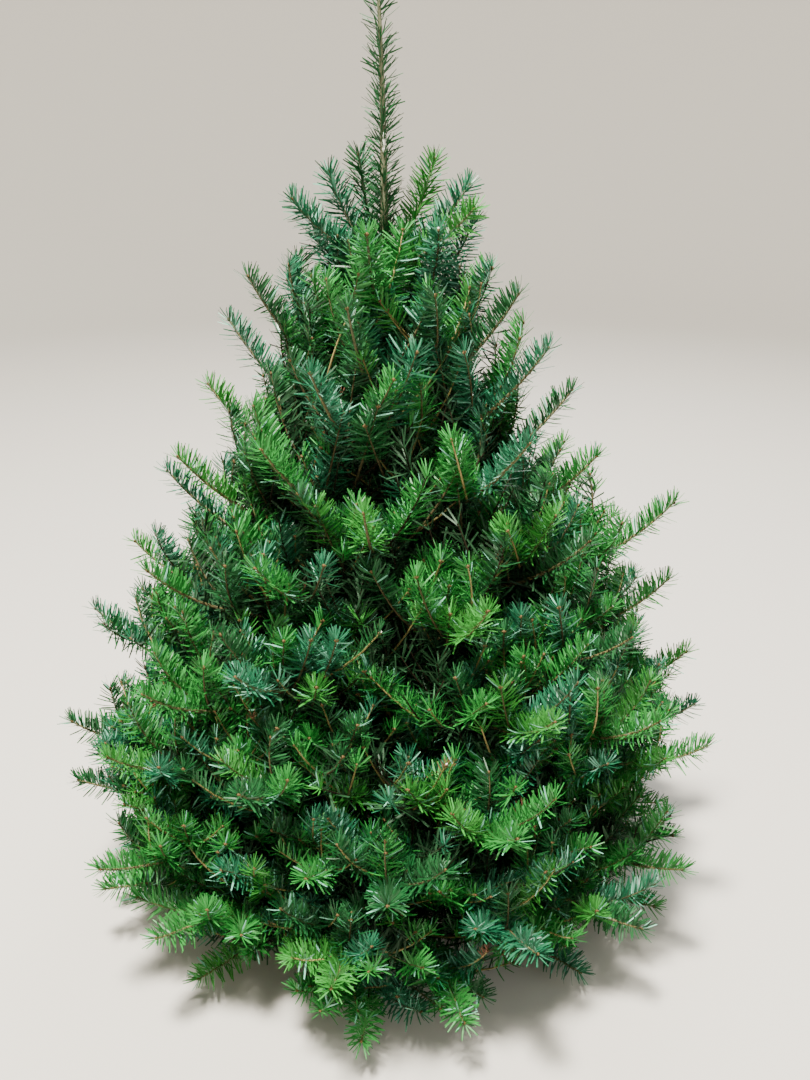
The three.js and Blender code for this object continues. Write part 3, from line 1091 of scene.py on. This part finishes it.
@dataclass(frozen=True)
class FirBark:
    """The smooth grey-brown bark of a young fir, with blisters, pale flecks and greener young bark at the
    top.

    Attributes:
        name: The real material.
        light: Colour of the dry outer bark.
        dark: Colour of its hollows.
        lichen: Colour of the pale flecks.
        young: Colour of the newest bark, at the top of the tree.
        grain_mm: Size of the fine grain.
        blister_mm: Size of the resin blisters.
        fleck_rate: How many pale flecks there are on a metre.
        flattened: How much lower than wide the grain is, because it runs round the trunk.
        hollows: Grain at which the bark is dark, and at which it is light.
        flecked: Noise at which a fleck starts and is full, and how strongly it shows at each.
        greening: Heights between which the bark turns young, and how strongly it does at each.
        dulling: Grain in the hollows and on the tops, and the roughness at each.
        relief: How strongly the relief shows, and its height.
    """

    name: str
    light: str
    dark: str
    lichen: str
    young: str
    grain_mm: float
    blister_mm: float
    fleck_rate: float = 55.0
    flattened: float = 2.2
    hollows: tuple[float, float] = (0.34, 0.68)
    flecked: tuple[float, ...] = (0.6, 0.7, 0.0, 0.55)
    greening: tuple[float, ...] = (1.0, 1.22, 0.0, 0.85)
    dulling: tuple[float, ...] = (0.3, 0.7, 0.88, 0.62)
    relief: tuple[float, float] = (0.5, 0.0012)

    def material(self) -> bpy.types.Material:
        """Makes the bark from noise and cells at their real sizes.

        Returns:
            The material.
        """
        made = bpy.data.materials.new(self.name)
        made.use_nodes = True
        graph, join = Graph(made.node_tree), made.node_tree.links.new
        shader = made.node_tree.nodes["Principled BSDF"].inputs
        place = graph.add("ShaderNodeTexCoord").outputs["Object"]
        level = graph.add("ShaderNodeMapping", Vector=place, Scale=(1.0, 1.0, self.flattened)).outputs[0]
        # a cell of the noise spans six grains, and one of the blisters' cells two and a half blisters
        fine = {"Scale": 1000 / self.grain_mm / 6, "Detail": 6.0, "Roughness": 0.62}
        grain = graph.add("ShaderNodeTexNoise", Vector=level, **fine).outputs["Fac"]
        cells = graph.add("ShaderNodeTexVoronoi", Vector=level, Scale=1000 / self.blister_mm / 2.5)
        flecks = graph.add("ShaderNodeTexNoise", Vector=place, Scale=self.fleck_rate, Detail=3.0)
        ramp = graph.add("ShaderNodeValToRGB", Fac=grain)
        for end, at, colour in zip(ramp.color_ramp.elements, self.hollows, (self.dark, self.light)):
            end.position, end.color = at, linear(colour)
        height = graph.add("ShaderNodeSeparateXYZ", _0=place).outputs[2]
        rows = ((flecks.outputs["Fac"], self.flecked), (height, self.greening), (grain, self.dulling))
        limits = ("From_Min", "From_Max", "To_Min", "To_Max")
        shares = [
            graph.add("ShaderNodeMapRange", Value=value, **dict(zip(limits, row))).outputs[0]
            for value, row in rows
        ]
        # a mix has its two colours at sockets 6 and 7, and gives them at 2
        blend, colour = {"data_type": "RGBA"}, ramp.outputs[0]
        for share, tint in zip(shares, (self.lichen, self.young)):
            colour = graph.add("ShaderNodeMix", blend, _0=share, _6=colour, _7=linear(tint)).outputs[2]
        join(colour, shader["Base Color"])
        join(shares[2], shader["Roughness"])
        less = {"operation": "SUBTRACT"}
        relief = graph.add("ShaderNodeMath", less, _0=grain, _1=cells.outputs["Distance"])
        strength, deep = self.relief
        bump = graph.add("ShaderNodeBump", Strength=strength, Distance=deep, Height=relief.outputs[0])
        join(bump.outputs[0], shader["Normal"])
        return made


TRUNK_BARK = FirBark("young_fir_trunk_bark", "#8A7D6C", "#4B3F33", "#A9A695", "#5A6146", 2.5, 7.0)
BOUGH_BARK = FirBark("fir_bough_bark", "#6C633A", "#3E3820", "#7C7864", "#4E5038", 1.6, 5.0)


@dataclass
class Foliage:
    """What the pieces of the crown share: its axes, its bands and the light inside it."""

    growth: Growth
    axes: list[Axis]

    def nodes_of(self, band: Band, kind: str) -> list[str]:
        """Names the solids of a kind that stand in a band."""
        own = [name for name in frame["nodes"] if name.startswith(kind)]
        return [name for name in own if name.split("_")[1] in band.value[1]]

    def sunny(self, axis: Axis, start: float = 0.9) -> bool:
        """Tells whether an axis stands in the light from a share of its length to its tip."""
        ends = axis.line.points(np.array([start, 1.0]) * axis.line.length)
        return axis.all_round or bool(self.growth.crown.sunlit(ends).all())

    def dress(self, piece: bpy.types.Object, slot: str, nodes: list[str]) -> None:
        """Makes a piece ride and stand for its solids.

        Args:
            piece: The piece.
            slot: Not used.
            nodes: The solids that it stands for.
        """
        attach(piece, BODY)
        if nodes:
            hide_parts(*nodes)
        LOG.info("%s: %d faces", piece.name, len(piece.data.polygons))


@dataclass(frozen=True)
class LeaderCoat:
    """How needles stand round the leader and the upper trunk.

    Attributes:
        start: Height at which the trunk is in needle.
        end: How far below the tip the last one stands.
        spacing: Distance from one to the next, as a share of a side shoot's.
        density: Heights, and the share of the needles that stay there.
        tip_zone: Length of the tip, on which they stand steeper.
        angles: Angle to the trunk on the tip, below it, and the spread, in degrees.
        seat: Where they start, as a share of the trunk's radius.
        sizes: The least and the greatest size.
        roll: How unevenly they are turned.
    """

    start: float = 0.9
    end: float = 0.004
    spacing: float = 0.28
    density: tuple[tuple[float, ...], tuple[float, ...]] = ((1.3, 1.42, 1.6, 1.66), (1.0, 0.6, 0.5, 0.8))
    tip_zone: float = 0.05
    angles: tuple[float, float, float] = (38, 60, 13)
    seat: float = 0.8
    sizes: tuple[float, float] = (0.8, 1.05)
    roll: float = 0.6

    def needles(self, trunk: TrunkForm, spacing: float, rng: np.random.Generator) -> tuple[Array, ...]:
        """Sets needles all round the leader and the upper trunk.

        Args:
            trunk: The trunk.
            spacing: Distance from one needle to the next on a side shoot.
            rng: The scatter.

        Returns:
            Root points, directions, face normals and sizes.
        """
        z = np.arange(self.start, trunk.height - self.end, spacing * self.spacing)
        z = z + rng.uniform(-0.5, 0.5, len(z)) * spacing
        # the newest length of the leader is the barest
        z = z[rng.random(len(z)) < np.interp(z, *self.density)]
        turn = rng.uniform(0, 2 * math.pi, len(z))
        out = np.stack([np.cos(turn), np.sin(turn), np.zeros(len(z))], axis=-1)
        on_tip, below, spread = self.angles
        lean = np.where(z > trunk.height - self.tip_zone, on_tip, below)
        angle = np.radians(lean + rng.normal(0, spread, len(z)))
        along = np.cos(angle)[:, None] * UP + np.sin(angle)[:, None] * out
        root = trunk.centre(z) + out * trunk.radius(z)[:, None] * self.seat
        size = rng.uniform(*self.sizes, len(z))
        return root, along, unit(UP + rng.normal(0, self.roll, (len(z), 3))), size


@dataclass
class Needles(Foliage):
    """The needles of the crown and the leader.

    Attributes:
        length: Length of a needle.
        width: Its width.
        waist: How much slimmer its ends are than its middle, and the same deep in the shade.
        curve: How far it bends, as a share of its length.
        spacing: Distance along a side shoot from one needle to the next.
        strong_spacing: The same on the boughs' own ends and their strongest twigs.
        round_spacing: The share of it on shoots with needles all round.
        bare: Length of a shoot's root without needles.
        tuft: Needles crowded at a tip, and how far from it.
        lost: The share of the needles that is missing in the shade.
        shaded_size: Size of the others there.
        combed_ranks: How far the ranks of a combed shoot stand up from its sides, in degrees.
        strong_ranks: The same on the strong shoots, whose needles are swept up.
        round_ranks: The same for a shoot with needles all round.
        rank_spread: How unevenly needles keep to their rank, in degrees.
        star: The last length of a shoot, where needles stand all round it.
        tip_zone: The length over which a shoot ends.
        angles: Angle to the shoot at its tip in degrees, what the rest of it adds, and the spread.
        root_zone: The length over which a shoot starts.
        root_size: Size of needles at its start, and what this length adds.
        tip_size: Size at its tip, and what the rest of a strong and of a side shoot adds.
        upward: How strongly a needle faces its shoot's up side, on combed shoots and on others.
        forward: How strongly it faces the tip.
        roll: How unevenly needles are turned, on combed shoots and on others.
        uneven: The least and the greatest size of needles side by side.
        dry: Length of a brown tip, the share of shoots that have one, and its needles' size.
        pale: Share of needles with a pale glint, on bluish sprays and on others.
        ground_gap: How far above the ground a needle's tip stays.
        leader: The needles round the leader.
        seed: Seed of the needles' own scatter.
    """

    length: float = 0.033
    width: float = 0.0028
    waist: tuple[float, float] = (0.42, 0.1)
    curve: float = 0.13
    spacing: float = 0.00145
    strong_spacing: float = 0.0008
    round_spacing: float = 0.75
    bare: float = 0.006
    tuft: tuple[int, float] = (6, 0.004)
    lost: float = 0.75
    shaded_size: float = 1.2
    combed_ranks: tuple[float, ...] = (4, 34, 16, 58, -12, 46, 24, 72, -28)
    strong_ranks: tuple[float, ...] = (12, 46, -24, 28, 68, -4, 55, -40, 84, 38, 20, 74, -14)
    round_ranks: tuple[float, ...] = (0, 50, -40, 25, 75, -15, 60, -70, 12, 38)
    rank_spread: float = 6
    star: float = 0.007
    tip_zone: float = 0.034
    angles: tuple[float, float, float] = (38, 30, 4)
    root_zone: float = 0.02
    root_size: tuple[float, float] = (0.62, 0.38)
    tip_size: tuple[float, float, float] = (0.84, 0.28, 0.16)
    upward: tuple[float, float] = (0.8, 0.25)
    forward: float = 0.5
    roll: tuple[float, float] = (0.3, 0.5)
    uneven: tuple[float, float] = (0.86, 1.1)
    dry: tuple[float, float, float] = (0.02, 0.015, 0.6)
    pale: tuple[float, float] = (0.12, 0.045)
    ground_gap: float = 0.003
    leader: LeaderCoat = LeaderCoat()
    seed: int = 7

    def stations(self, axis: Axis, rng: np.random.Generator) -> Array:
        """Finds the places along an axis where living needles stand, fewer deep inside the crown.

        Args:
            axis: The axis.
            rng: The scatter.

        Returns:
            Distances along it.
        """
        line, crown = axis.line, self.growth.crown
        spacing = self.strong_spacing if axis.order < 2 else self.spacing
        spacing = spacing * (self.round_spacing if axis.all_round else 1.0)
        s = np.arange(self.bare, line.length, spacing)
        s = s + rng.uniform(-0.5, 0.5, len(s)) * spacing
        s = np.append(s, line.length - rng.uniform(0, self.tuft[1], self.tuft[0]))
        points = line.points(s)
        missing = ~crown.sunlit(points) & (rng.random(len(s)) < (0.0 if axis.all_round else self.lost))
        return s[crown.alive(points) & ~missing]

    def on_axis(self, axis: Axis, stations: Array, rng: np.random.Generator) -> tuple[Array, ...]:
        """Sets needles at stations of an axis.

        Args:
            axis: The axis, whose needles stand all round it or are combed to its sides and top.
            stations: Distances along it.
            rng: The scatter.

        Returns:
            Root points, directions, face normals and sizes.
        """
        line, all_round, count = axis.line, axis.all_round, len(stations)
        tangent, normal = line.tangents(stations), line.normals(stations)
        rank = np.arange(count)
        hand = np.where(rank % 2 == 0, 1.0, -1.0)
        combed = np.array(self.strong_ranks if axis.order < 2 else self.combed_ranks)
        round_about = np.array(self.round_ranks)
        star = all_round | (line.length - stations < self.star)
        ranks = np.where(star, round_about[(rank // 2) % len(round_about)], combed[(rank // 2) % len(combed)])
        raised = np.radians(ranks + rng.normal(0, self.rank_spread, count))
        out = (hand * np.cos(raised))[:, None] * np.cross(normal, tangent) + np.sin(raised)[:, None] * normal
        to_tip = np.clip((line.length - stations) / self.tip_zone, 0, 1)
        at_tip, more, spread = self.angles
        angle = np.radians(at_tip + more * to_tip + rng.normal(0, spread, count))
        along = np.cos(angle)[:, None] * tangent + np.sin(angle)[:, None] * out
        roll = rng.normal(0, self.roll[all_round], (count, 3))
        face = unit(normal * self.upward[all_round] + tangent * self.forward + roll)
        starting, growing = self.root_size
        ending, strong, weak = self.tip_size
        size = starting + growing * np.minimum(stations / self.root_zone, 1)
        size = size * (ending + (strong if axis.order < 2 else weak) * to_tip)
        return line.points(stations), along, face, size * rng.uniform(*self.uneven, count)

    def gathered(self) -> dict[tuple[Band, NeedleTone], list[tuple[Array, ...]]]:
        """Sets every needle and sorts them by band and tone.

        Returns:
            Root points, directions, face normals and sizes for each band and tone.
        """
        rng = np.random.default_rng(self.seed)
        rows: dict[tuple[Band, NeedleTone], list[tuple[Array, ...]]] = {}
        for axis in self.axes:
            stations = self.stations(axis, rng)
            if not len(stations):
                continue
            points, along, face, size = self.on_axis(axis, stations, rng)
            lit = self.growth.crown.sunlit(points) | axis.all_round
            size = size * np.where(lit, 1.0, self.shaded_size)
            above = points[:, 2] + along[:, 2] * size * self.length > self.ground_gap
            own = NeedleTone.deal(rng)
            # a few tips have died back to a brown tuft
            brown, share, shrunken = self.dry
            dry = (stations > axis.line.length - brown) & (rng.random() < share)
            size[dry] *= shrunken
            # painted glint: a share of the lit needles takes the pale tone
            pale = lit & ~dry & (rng.random(len(stations)) < self.pale[own is not NeedleTone.BLUISH])
            picks = {own: lit & ~pale & ~dry, NeedleTone.PALE: pale, NeedleTone.DRY: dry}
            # needles out of the light take the painted shade tone
            for tone, pick in (picks | {NeedleTone.SHADED: ~lit & ~dry}).items():
                kept = tuple(part[pick & above] for part in (points, along, face, size))
                rows.setdefault((axis.band, tone), []).append(kept)
        leader = self.leader.needles(self.growth.trunk, self.spacing, rng)
        rows.setdefault((Band.TIP, NeedleTone.DEEP), []).append(leader)
        return rows

    def build(self) -> None:
        """Makes the needles of every band, tone by tone."""
        bent, plain = needle_tree(3), needle_tree(2)
        for (band, tone), parts in self.gathered().items():
            points, along, face, size = (np.concatenate(rows) for rows in zip(*parts))
            source = point_mesh(points, along=along, face=face, size=size)
            shaded = tone is NeedleTone.SHADED
            sizes = {"Length": self.length, "Width": self.width, "Curve": self.curve}
            sizes["Waist"] = self.waist[shaded]
            name = f"needles_{band.label}_{tone.label}"
            piece = (plain if shaded else bent).make(name, source, sizes, tone.material())
            self.dress(piece, "foliage", self.nodes_of(band, "foliage"))
        piece = next(obj for obj in bpy.data.objects if obj.name.startswith("needles_tip"))
        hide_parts("leader_needles")


@dataclass
class Limbs(Foliage):
    """The boughs and the twigs.

    Attributes:
        bough_sides: Sides of a bough.
        twig_sides: Sides of a twig.
        bough_steps: Lengths that a bough's line is cut into.
        pale_every: Which of the sunny twigs have pale bark.
        pale_girth: How much thicker these are.
        pale_steps: Lengths that their line is cut into.
    """

    bough_sides: int = 9
    twig_sides: int = 5
    bough_steps: int = 24
    pale_every: int = 4
    pale_girth: float = 1.05
    pale_steps: int = 5

    def path_mesh(self, axes: list[Axis], steps: int) -> bpy.types.Mesh:
        """Makes the paths of axes as strings of edges with a thickness at each point.

        Args:
            axes: The axes.
            steps: Lengths that each is cut into.

        Returns:
            The mesh.
        """
        share = np.linspace(0, 1, steps + 1)
        points = np.concatenate([axis.line.points(share * axis.line.length) for axis in axes])
        girth = [axis.root_radius + (axis.tip_radius - axis.root_radius) * share for axis in axes]
        mesh = point_mesh(points, thickness=np.concatenate(girth))
        first = np.arange(len(axes))[:, None] * (steps + 1) + np.arange(steps)
        edges = np.stack([first.ravel(), first.ravel() + 1], axis=-1).astype(np.int32)
        mesh.edges.add(len(edges))
        mesh.edges.foreach_set("vertices", edges.ravel())
        return mesh

    def build(self) -> None:
        """Makes the boughs and the twigs of every band."""
        bough_tree, twig_tree = limb_tree(self.bough_sides), limb_tree(self.twig_sides)
        bark = BOUGH_BARK.material()
        pale = [axis for axis in self.axes if axis.order in (1, 2) and self.sunny(axis, 0.0)]
        pale = pale[:: self.pale_every]
        is_pale = {id(axis) for axis in pale}
        paths = self.path_mesh(pale, self.pale_steps)
        piece = twig_tree.make("twigs_pale", paths, {"Girth": self.pale_girth}, PALE_TWIG.material())
        self.dress(piece, "foliage", [])
        for band in Band:
            own = [axis for axis in self.axes if axis.band is band]
            paths = self.path_mesh([axis for axis in own if axis.order == 0], self.bough_steps)
            piece = bough_tree.make(f"boughs_{band.label}", paths, {"Girth": 1.0}, bark)
            self.dress(piece, "bark", self.nodes_of(band, "bough") or self.nodes_of(band, "foliage"))
            twigs = [axis for axis in own if axis.order > 0 and id(axis) not in is_pale]
            sunny = [axis for axis in twigs if self.sunny(axis)]
            kinds = (
                ("old", [axis for axis in sunny if axis.order == 1], OLD_TWIG, 6),
                ("young", [axis for axis in sunny if axis.order > 1], YOUNG_TWIG, 3),
                # twigs out of the light take the near-black painted shade bark
                ("inner", [axis for axis in twigs if not self.sunny(axis)], SHADE_PAINTED_TWIG, 4),
            )
            for label, axes, plain, steps in kinds:
                if not axes:
                    continue
                name = f"twigs_{band.label}_{label}"
                piece = twig_tree.make(name, self.path_mesh(axes, steps), {"Girth": 1.0}, plain.material())
                self.dress(piece, "foliage", self.nodes_of(band, "foliage"))


@dataclass
class Buds(Foliage):
    """The clusters of buds on the shoots' tips, and the resin on a few of them.

    Attributes:
        bud: Radius of a bud, and its length in radii.
        drop: The same for a drop of resin.
        dripping: Share of the tips with a drop.
        bleeding: Height and size of the drops on the leader, where it was hurt.
        full: Length of the shoots with the largest buds.
        top_size: Size of the bud at a tip, and what a full shoot adds.
        side_size: The same for the buds beside it.
        paired: The chance of each of those, and what a full shoot adds.
        spread: How far they lean out.
        set_back: How far they stand back from the tip, and out along their own lean.
        drop_out: How far a drop hangs out past the tip.
        wound: Where the leader was hurt, off its middle.
        crowd: Directions of the buds round the leader's tip.
        crowd_rise: Their rise, in degrees.
        crowd_places: How far its top bud is below its tip, and the others out and down from that.
        crowd_sizes: Size of the top bud, and of the others.
        seed: Seed of their scatter.
    """

    bud: tuple[float, float] = (0.002, 1.5)
    drop: tuple[float, float] = (0.0019, 1.7)
    dripping: float = 0.02
    bleeding: tuple[tuple[float, float], ...] = ((1.4, 2.6), (1.412, 1.7), (1.39, 1.9), (1.43, 1.1))
    full: float = 0.16
    top_size: tuple[float, float] = (0.75, 0.6)
    side_size: tuple[float, float] = (0.6, 0.4)
    paired: tuple[float, float] = (0.3, 0.6)
    spread: float = 0.9
    set_back: tuple[float, float] = (0.0025, 0.0028)
    drop_out: float = 0.002
    wound: tuple[float, float, float] = (0.001, -0.006, 0.0)
    crowd: tuple[float, ...] = (20, 95, 170, 240, 310)
    crowd_rise: float = 50
    crowd_places: tuple[float, float, float] = (0.005, 0.002, 0.003)
    crowd_sizes: tuple[float, float] = (1.3, 1.0)
    seed: int = 8

    def on_leader(self) -> list[Bead]:
        """Gives the crowded buds on the leader's tip.

        Returns:
            The place, direction and size of each.
        """
        below, out, down = self.crowd_places
        top, others = self.crowd_sizes
        tip = self.growth.trunk.centre(self.growth.trunk.height - below)
        ring = [heading(azimuth, self.crowd_rise) for azimuth in self.crowd]
        return [(tip, UP, top)] + [(tip + lean * out - UP * down, lean, others) for lean in ring]

    def beads(
        self,
        tree: GeometryTree,
        name: str,
        rows: list[Bead],
        sizes: tuple[float, float],
        finish: Plain,
        nodes: list[str],
    ) -> None:
        """Makes one piece of buds or drops.

        Args:
            tree: The tree that sets one on each point.
            name: Name of the piece.
            rows: The place, direction and size of each.
            sizes: Radius, and length in radii.
            finish: Its finish.
            nodes: The solids that it stands for.
        """
        points, along, size = (np.array(column) for column in zip(*rows))
        source = point_mesh(points, along=along, face=np.cross(along, UP + 0.01), size=size)
        piece = tree.make(name, source, {"Radius": sizes[0], "Stretch": sizes[1]}, finish.material())
        self.dress(piece, "foliage", nodes)

    def build(self) -> None:
        """Makes the buds of every band, and the resin."""
        tree, trunk = bud_tree(), self.growth.trunk
        rng = np.random.default_rng(self.seed)
        resin = [(trunk.centre(z) + np.array(self.wound), UP, size) for z, size in self.bleeding]
        for band in Band:
            rows: list[Bead] = []
            for axis in self.axes:
                if axis.band is not band or not self.sunny(axis):
                    continue
                line = axis.line
                tip, along = line.tip(), line.tangents(line.length)
                if rng.random() < self.dripping:
                    resin.append((tip + along * self.drop_out, along, 1.0))
                side = np.cross(line.normals(line.length), along)
                strong = min(1.0, line.length / self.full)
                rows.append((tip, along, self.top_size[0] + self.top_size[1] * strong))
                for hand in (1, -1):
                    if rng.random() < self.paired[0] + self.paired[1] * strong:
                        lean = unit(along + hand * self.spread * side)
                        place = tip - along * self.set_back[0] + lean * self.set_back[1]
                        rows.append((place, lean, self.side_size[0] + self.side_size[1] * strong))
            if band is Band.TIP:
                rows.extend(self.on_leader())
            self.beads(tree, f"buds_{band.label}", rows, self.bud, BUD_SCALES, self.nodes_of(band, "foliage"))
        self.beads(tree, "resin_drops", resin, self.drop, RESIN, [])


@dataclass
class Trunk:
    """The trunk, from its flared foot to the leader's tip, with blisters and whorl collars.

    Attributes:
        form: Its line and girth.
        whorls: The whorls that leave it.
        sides: Points round each ring.
        rings: Rings up its height.
        crowding: How much closer the rings are at the foot.
        lobes: The flare's mean share round the trunk, and how much its lobes change it.
        collar: Half a collar's width in radians, its place over the whorl, its height, and its rise.
        blisters: Number of resin blisters in its bark.
        blister_heights: The lowest and the highest of them.
        blister_widths: Their least and greatest width.
        blister_height: Their height as a share of that.
        blister_out: How far they stand out.
        waves: Waves of the bark's unevenness: turns round it, and radians a metre up for each of the two.
        uneven: How far the bark is from round.
        thin: The girth under which it is rounder.
        closed: How far the last ring closes in.
        seed: Seed of the blisters.
    """

    form: TrunkForm
    whorls: list[Whorl]
    sides: int = 48
    rings: int = 330
    crowding: float = 1.25
    lobes: tuple[float, float] = (0.62, 0.38)
    collar: tuple[float, float, float, float] = (0.5, 0.004, 0.011, 0.09)
    blisters: int = 260
    blister_heights: tuple[float, float] = (0.02, 1.1)
    blister_widths: tuple[float, float] = (0.002, 0.005)
    blister_height: float = 0.6
    blister_out: float = 0.0007
    waves: tuple[int, float, float] = (3, 40, 95)
    uneven: float = 0.012
    thin: float = 0.02
    closed: float = 0.4
    seed: int = 3

    def radii(self, turn: Array, z: Array) -> Array:
        """Gives the bark's distance from the trunk's middle.

        Args:
            turn: Angles round the trunk, as a row.
            z: Heights, as a column.

        Returns:
            The radius at each height and angle.
        """
        form = self.form
        lobe = self.lobes[0] + self.lobes[1] * np.cos(turn * form.buttresses)
        radius = form.radius(z) * np.ones_like(turn) + form.flare * np.exp(-z / form.flare_height) * lobe
        width, over, height, share = self.collar
        for whorl in self.whorls:
            for bough in whorl.boughs:
                off = np.angle(np.exp(1j * (turn - math.radians(bough.azimuth))))
                near = np.exp(-((off / width) ** 2) - ((z - whorl.height - over) / height) ** 2)
                radius = radius + near * share * form.radius(whorl.height)
        rng = np.random.default_rng(self.seed)
        girth = form.radius(z)
        for _ in range(self.blisters):
            at, height = rng.uniform(-math.pi, math.pi), rng.uniform(*self.blister_heights)
            wide = rng.uniform(*self.blister_widths)
            off = np.angle(np.exp(1j * (turn - at))) * girth
            blister = np.exp(-((off / wide) ** 2) - ((z - height) / (wide * self.blister_height)) ** 2)
            radius = radius + blister * self.blister_out
        turns, first, second = self.waves
        wave = np.sin(turn * turns + z * first) * np.sin(z * second + turn) * self.uneven
        return radius * (1 + wave * np.clip(girth / self.thin, 0, 1))

    def build(self) -> None:
        """Builds and dresses the trunk."""
        sides, rings = self.sides, self.rings
        z = (np.linspace(0, 1, rings) ** self.crowding * self.form.height)[:, None]
        turn = (np.arange(sides) * 2 * math.pi / sides)[None, :]
        radius = self.radii(turn, z)
        radius[-1] *= self.closed
        ring = np.stack([radius * np.cos(turn), radius * np.sin(turn), np.zeros_like(radius)], axis=-1)
        points = (self.form.centre(z[:, 0])[:, None, :] + ring).reshape(-1, 3)
        foot = np.arange(rings - 1)[:, None] * sides
        first = (foot + np.arange(sides)).ravel()
        after = (foot + (np.arange(sides) + 1) % sides).ravel()
        faces = np.stack([first, after, after + sides, first + sides], axis=-1).tolist()
        faces.append(list(range(sides))[::-1])
        faces.append([(rings - 1) * sides + i for i in range(sides)])
        piece = surface("trunk_bark", points.tolist(), faces, TRUNK_BARK.material())
        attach(piece, BODY)
        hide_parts("trunk")
        LOG.info("%s: %d faces", piece.name, len(piece.data.polygons))


class Lamp(Enum):
    """The square lamps: place, size, watts and tint."""

    KEY = ((-0.9, -1.7, 6.3), 0.9, 2200.0, "#FFF8EC")
    FILL = ((3.2, -2.4, 2.2), 3.0, 36.0, "#EAF2FF")
    RIM = ((0.8, 3.0, 3.4), 2.2, 150.0, "#FFFFFF")

    def hang(self, aim: tuple[float, float, float]) -> None:
        """Hangs the lamp.

        Args:
            aim: The point that it looks at.
        """
        place, size, watts, tint = self.value
        lamp = bpy.data.lights.new(self.name.lower(), "AREA")
        lamp.size, lamp.energy, lamp.color = size, watts, linear(tint)[:3]
        holder = link(self.name.lower(), lamp)
        holder.location = place
        holder.rotation_euler = (Vector(aim) - Vector(place)).to_track_quat("-Z", "Y").to_euler()


@dataclass(frozen=True)
class Studio:
    """The pale floor, the soft lights and the camera at the photograph's angle.

    Attributes:
        eye: Where the camera stands.
        pitch: How far it looks down, in degrees.
        lens: Its focal length in millimetres.
        film: The width of its frame in millimetres.
        aim: Where the lamps look.
        floor_radius: Radius of the level floor.
        sweep: Radius of its sweep up into the backdrop.
        wall: Height of the backdrop.
        turns: Points round it.
        sky: Colour and strength of the light from all round.
    """

    eye: tuple[float, float, float] = (0.029, -1.875, 1.5)
    pitch: float = 22.9
    lens: float = 36.67
    film: float = 36.0
    aim: tuple[float, float, float] = (0.0, 0.0, 0.7)
    floor_radius: float = 5.5
    sweep: float = 2.5
    wall: float = 9.0
    turns: int = 96
    sky: tuple[str, float] = ("#DDE3EA", 0.52)

    def floor(self) -> None:
        """Lays the floor, which sweeps up into a backdrop all round."""
        turns, level, sweep = self.turns, self.floor_radius, self.sweep
        bend = [math.radians(angle) for angle in range(6, 91, 6)]
        curve = [(level + sweep * math.sin(a), sweep - sweep * math.cos(a)) for a in bend]
        profile = [(level, 0.0), *curve, (level + sweep, self.wall)]
        turn = np.arange(turns) * 2 * math.pi / turns
        points = [(r * math.cos(a), r * math.sin(a), z) for r, z in profile for a in turn]
        faces: list[list[int]] = [list(range(turns))]
        for ring in range(len(profile) - 1):
            first = ring * turns
            after = [first + (i + 1) % turns for i in range(turns)]
            faces += [[first + i, first + turns + i, after[i] + turns, after[i]] for i in range(turns)]
        floor = surface("floor", points, faces, FLOOR.material())
        floor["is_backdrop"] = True

    def world(self) -> None:
        """Sets the soft light from all round."""
        world = bpy.data.worlds.new("studio")
        world.use_nodes = True
        back = world.node_tree.nodes["Background"].inputs
        back[0].default_value, back[1].default_value = linear(self.sky[0]), self.sky[1]
        bpy.context.scene.world = world

    def build(self) -> None:
        """Sets the studio up."""
        self.floor()
        for lamp in Lamp:
            lamp.hang(self.aim)
        self.world()
        camera = bpy.data.cameras.new("camera")
        camera.lens, camera.sensor_width, camera.clip_end = self.lens, self.film, 100.0
        holder = link("camera", camera)
        holder.location = self.eye
        holder.rotation_euler = (math.radians(90 - self.pitch), 0.0, 0.0)
        bpy.context.scene.camera = holder


def write_sizes() -> None:
    """Turns the solids' box and the looks' box into plain numbers."""
    boxes = {"cad": CAD_BOX, "visual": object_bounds()}
    plain = {name: [[float(x) for x in corner] for corner in box] for name, box in boxes.items()}


def main() -> None:
    """Builds the tree's looks and the studio round it."""
    logging.basicConfig(level=logging.INFO, format="%(name)s %(message)s")
    growth = Growth(TrunkForm(), Crown(), CrownPlan())
    Studio().build()
    Trunk(growth.trunk, growth.plan.whorls(growth.trunk, growth.crown)).build()
    axes = growth.grow()
    for part in (Needles, Limbs, Buds):
        part(growth, axes).build()
    write_sizes()


if __name__ == "__main__":
    main()
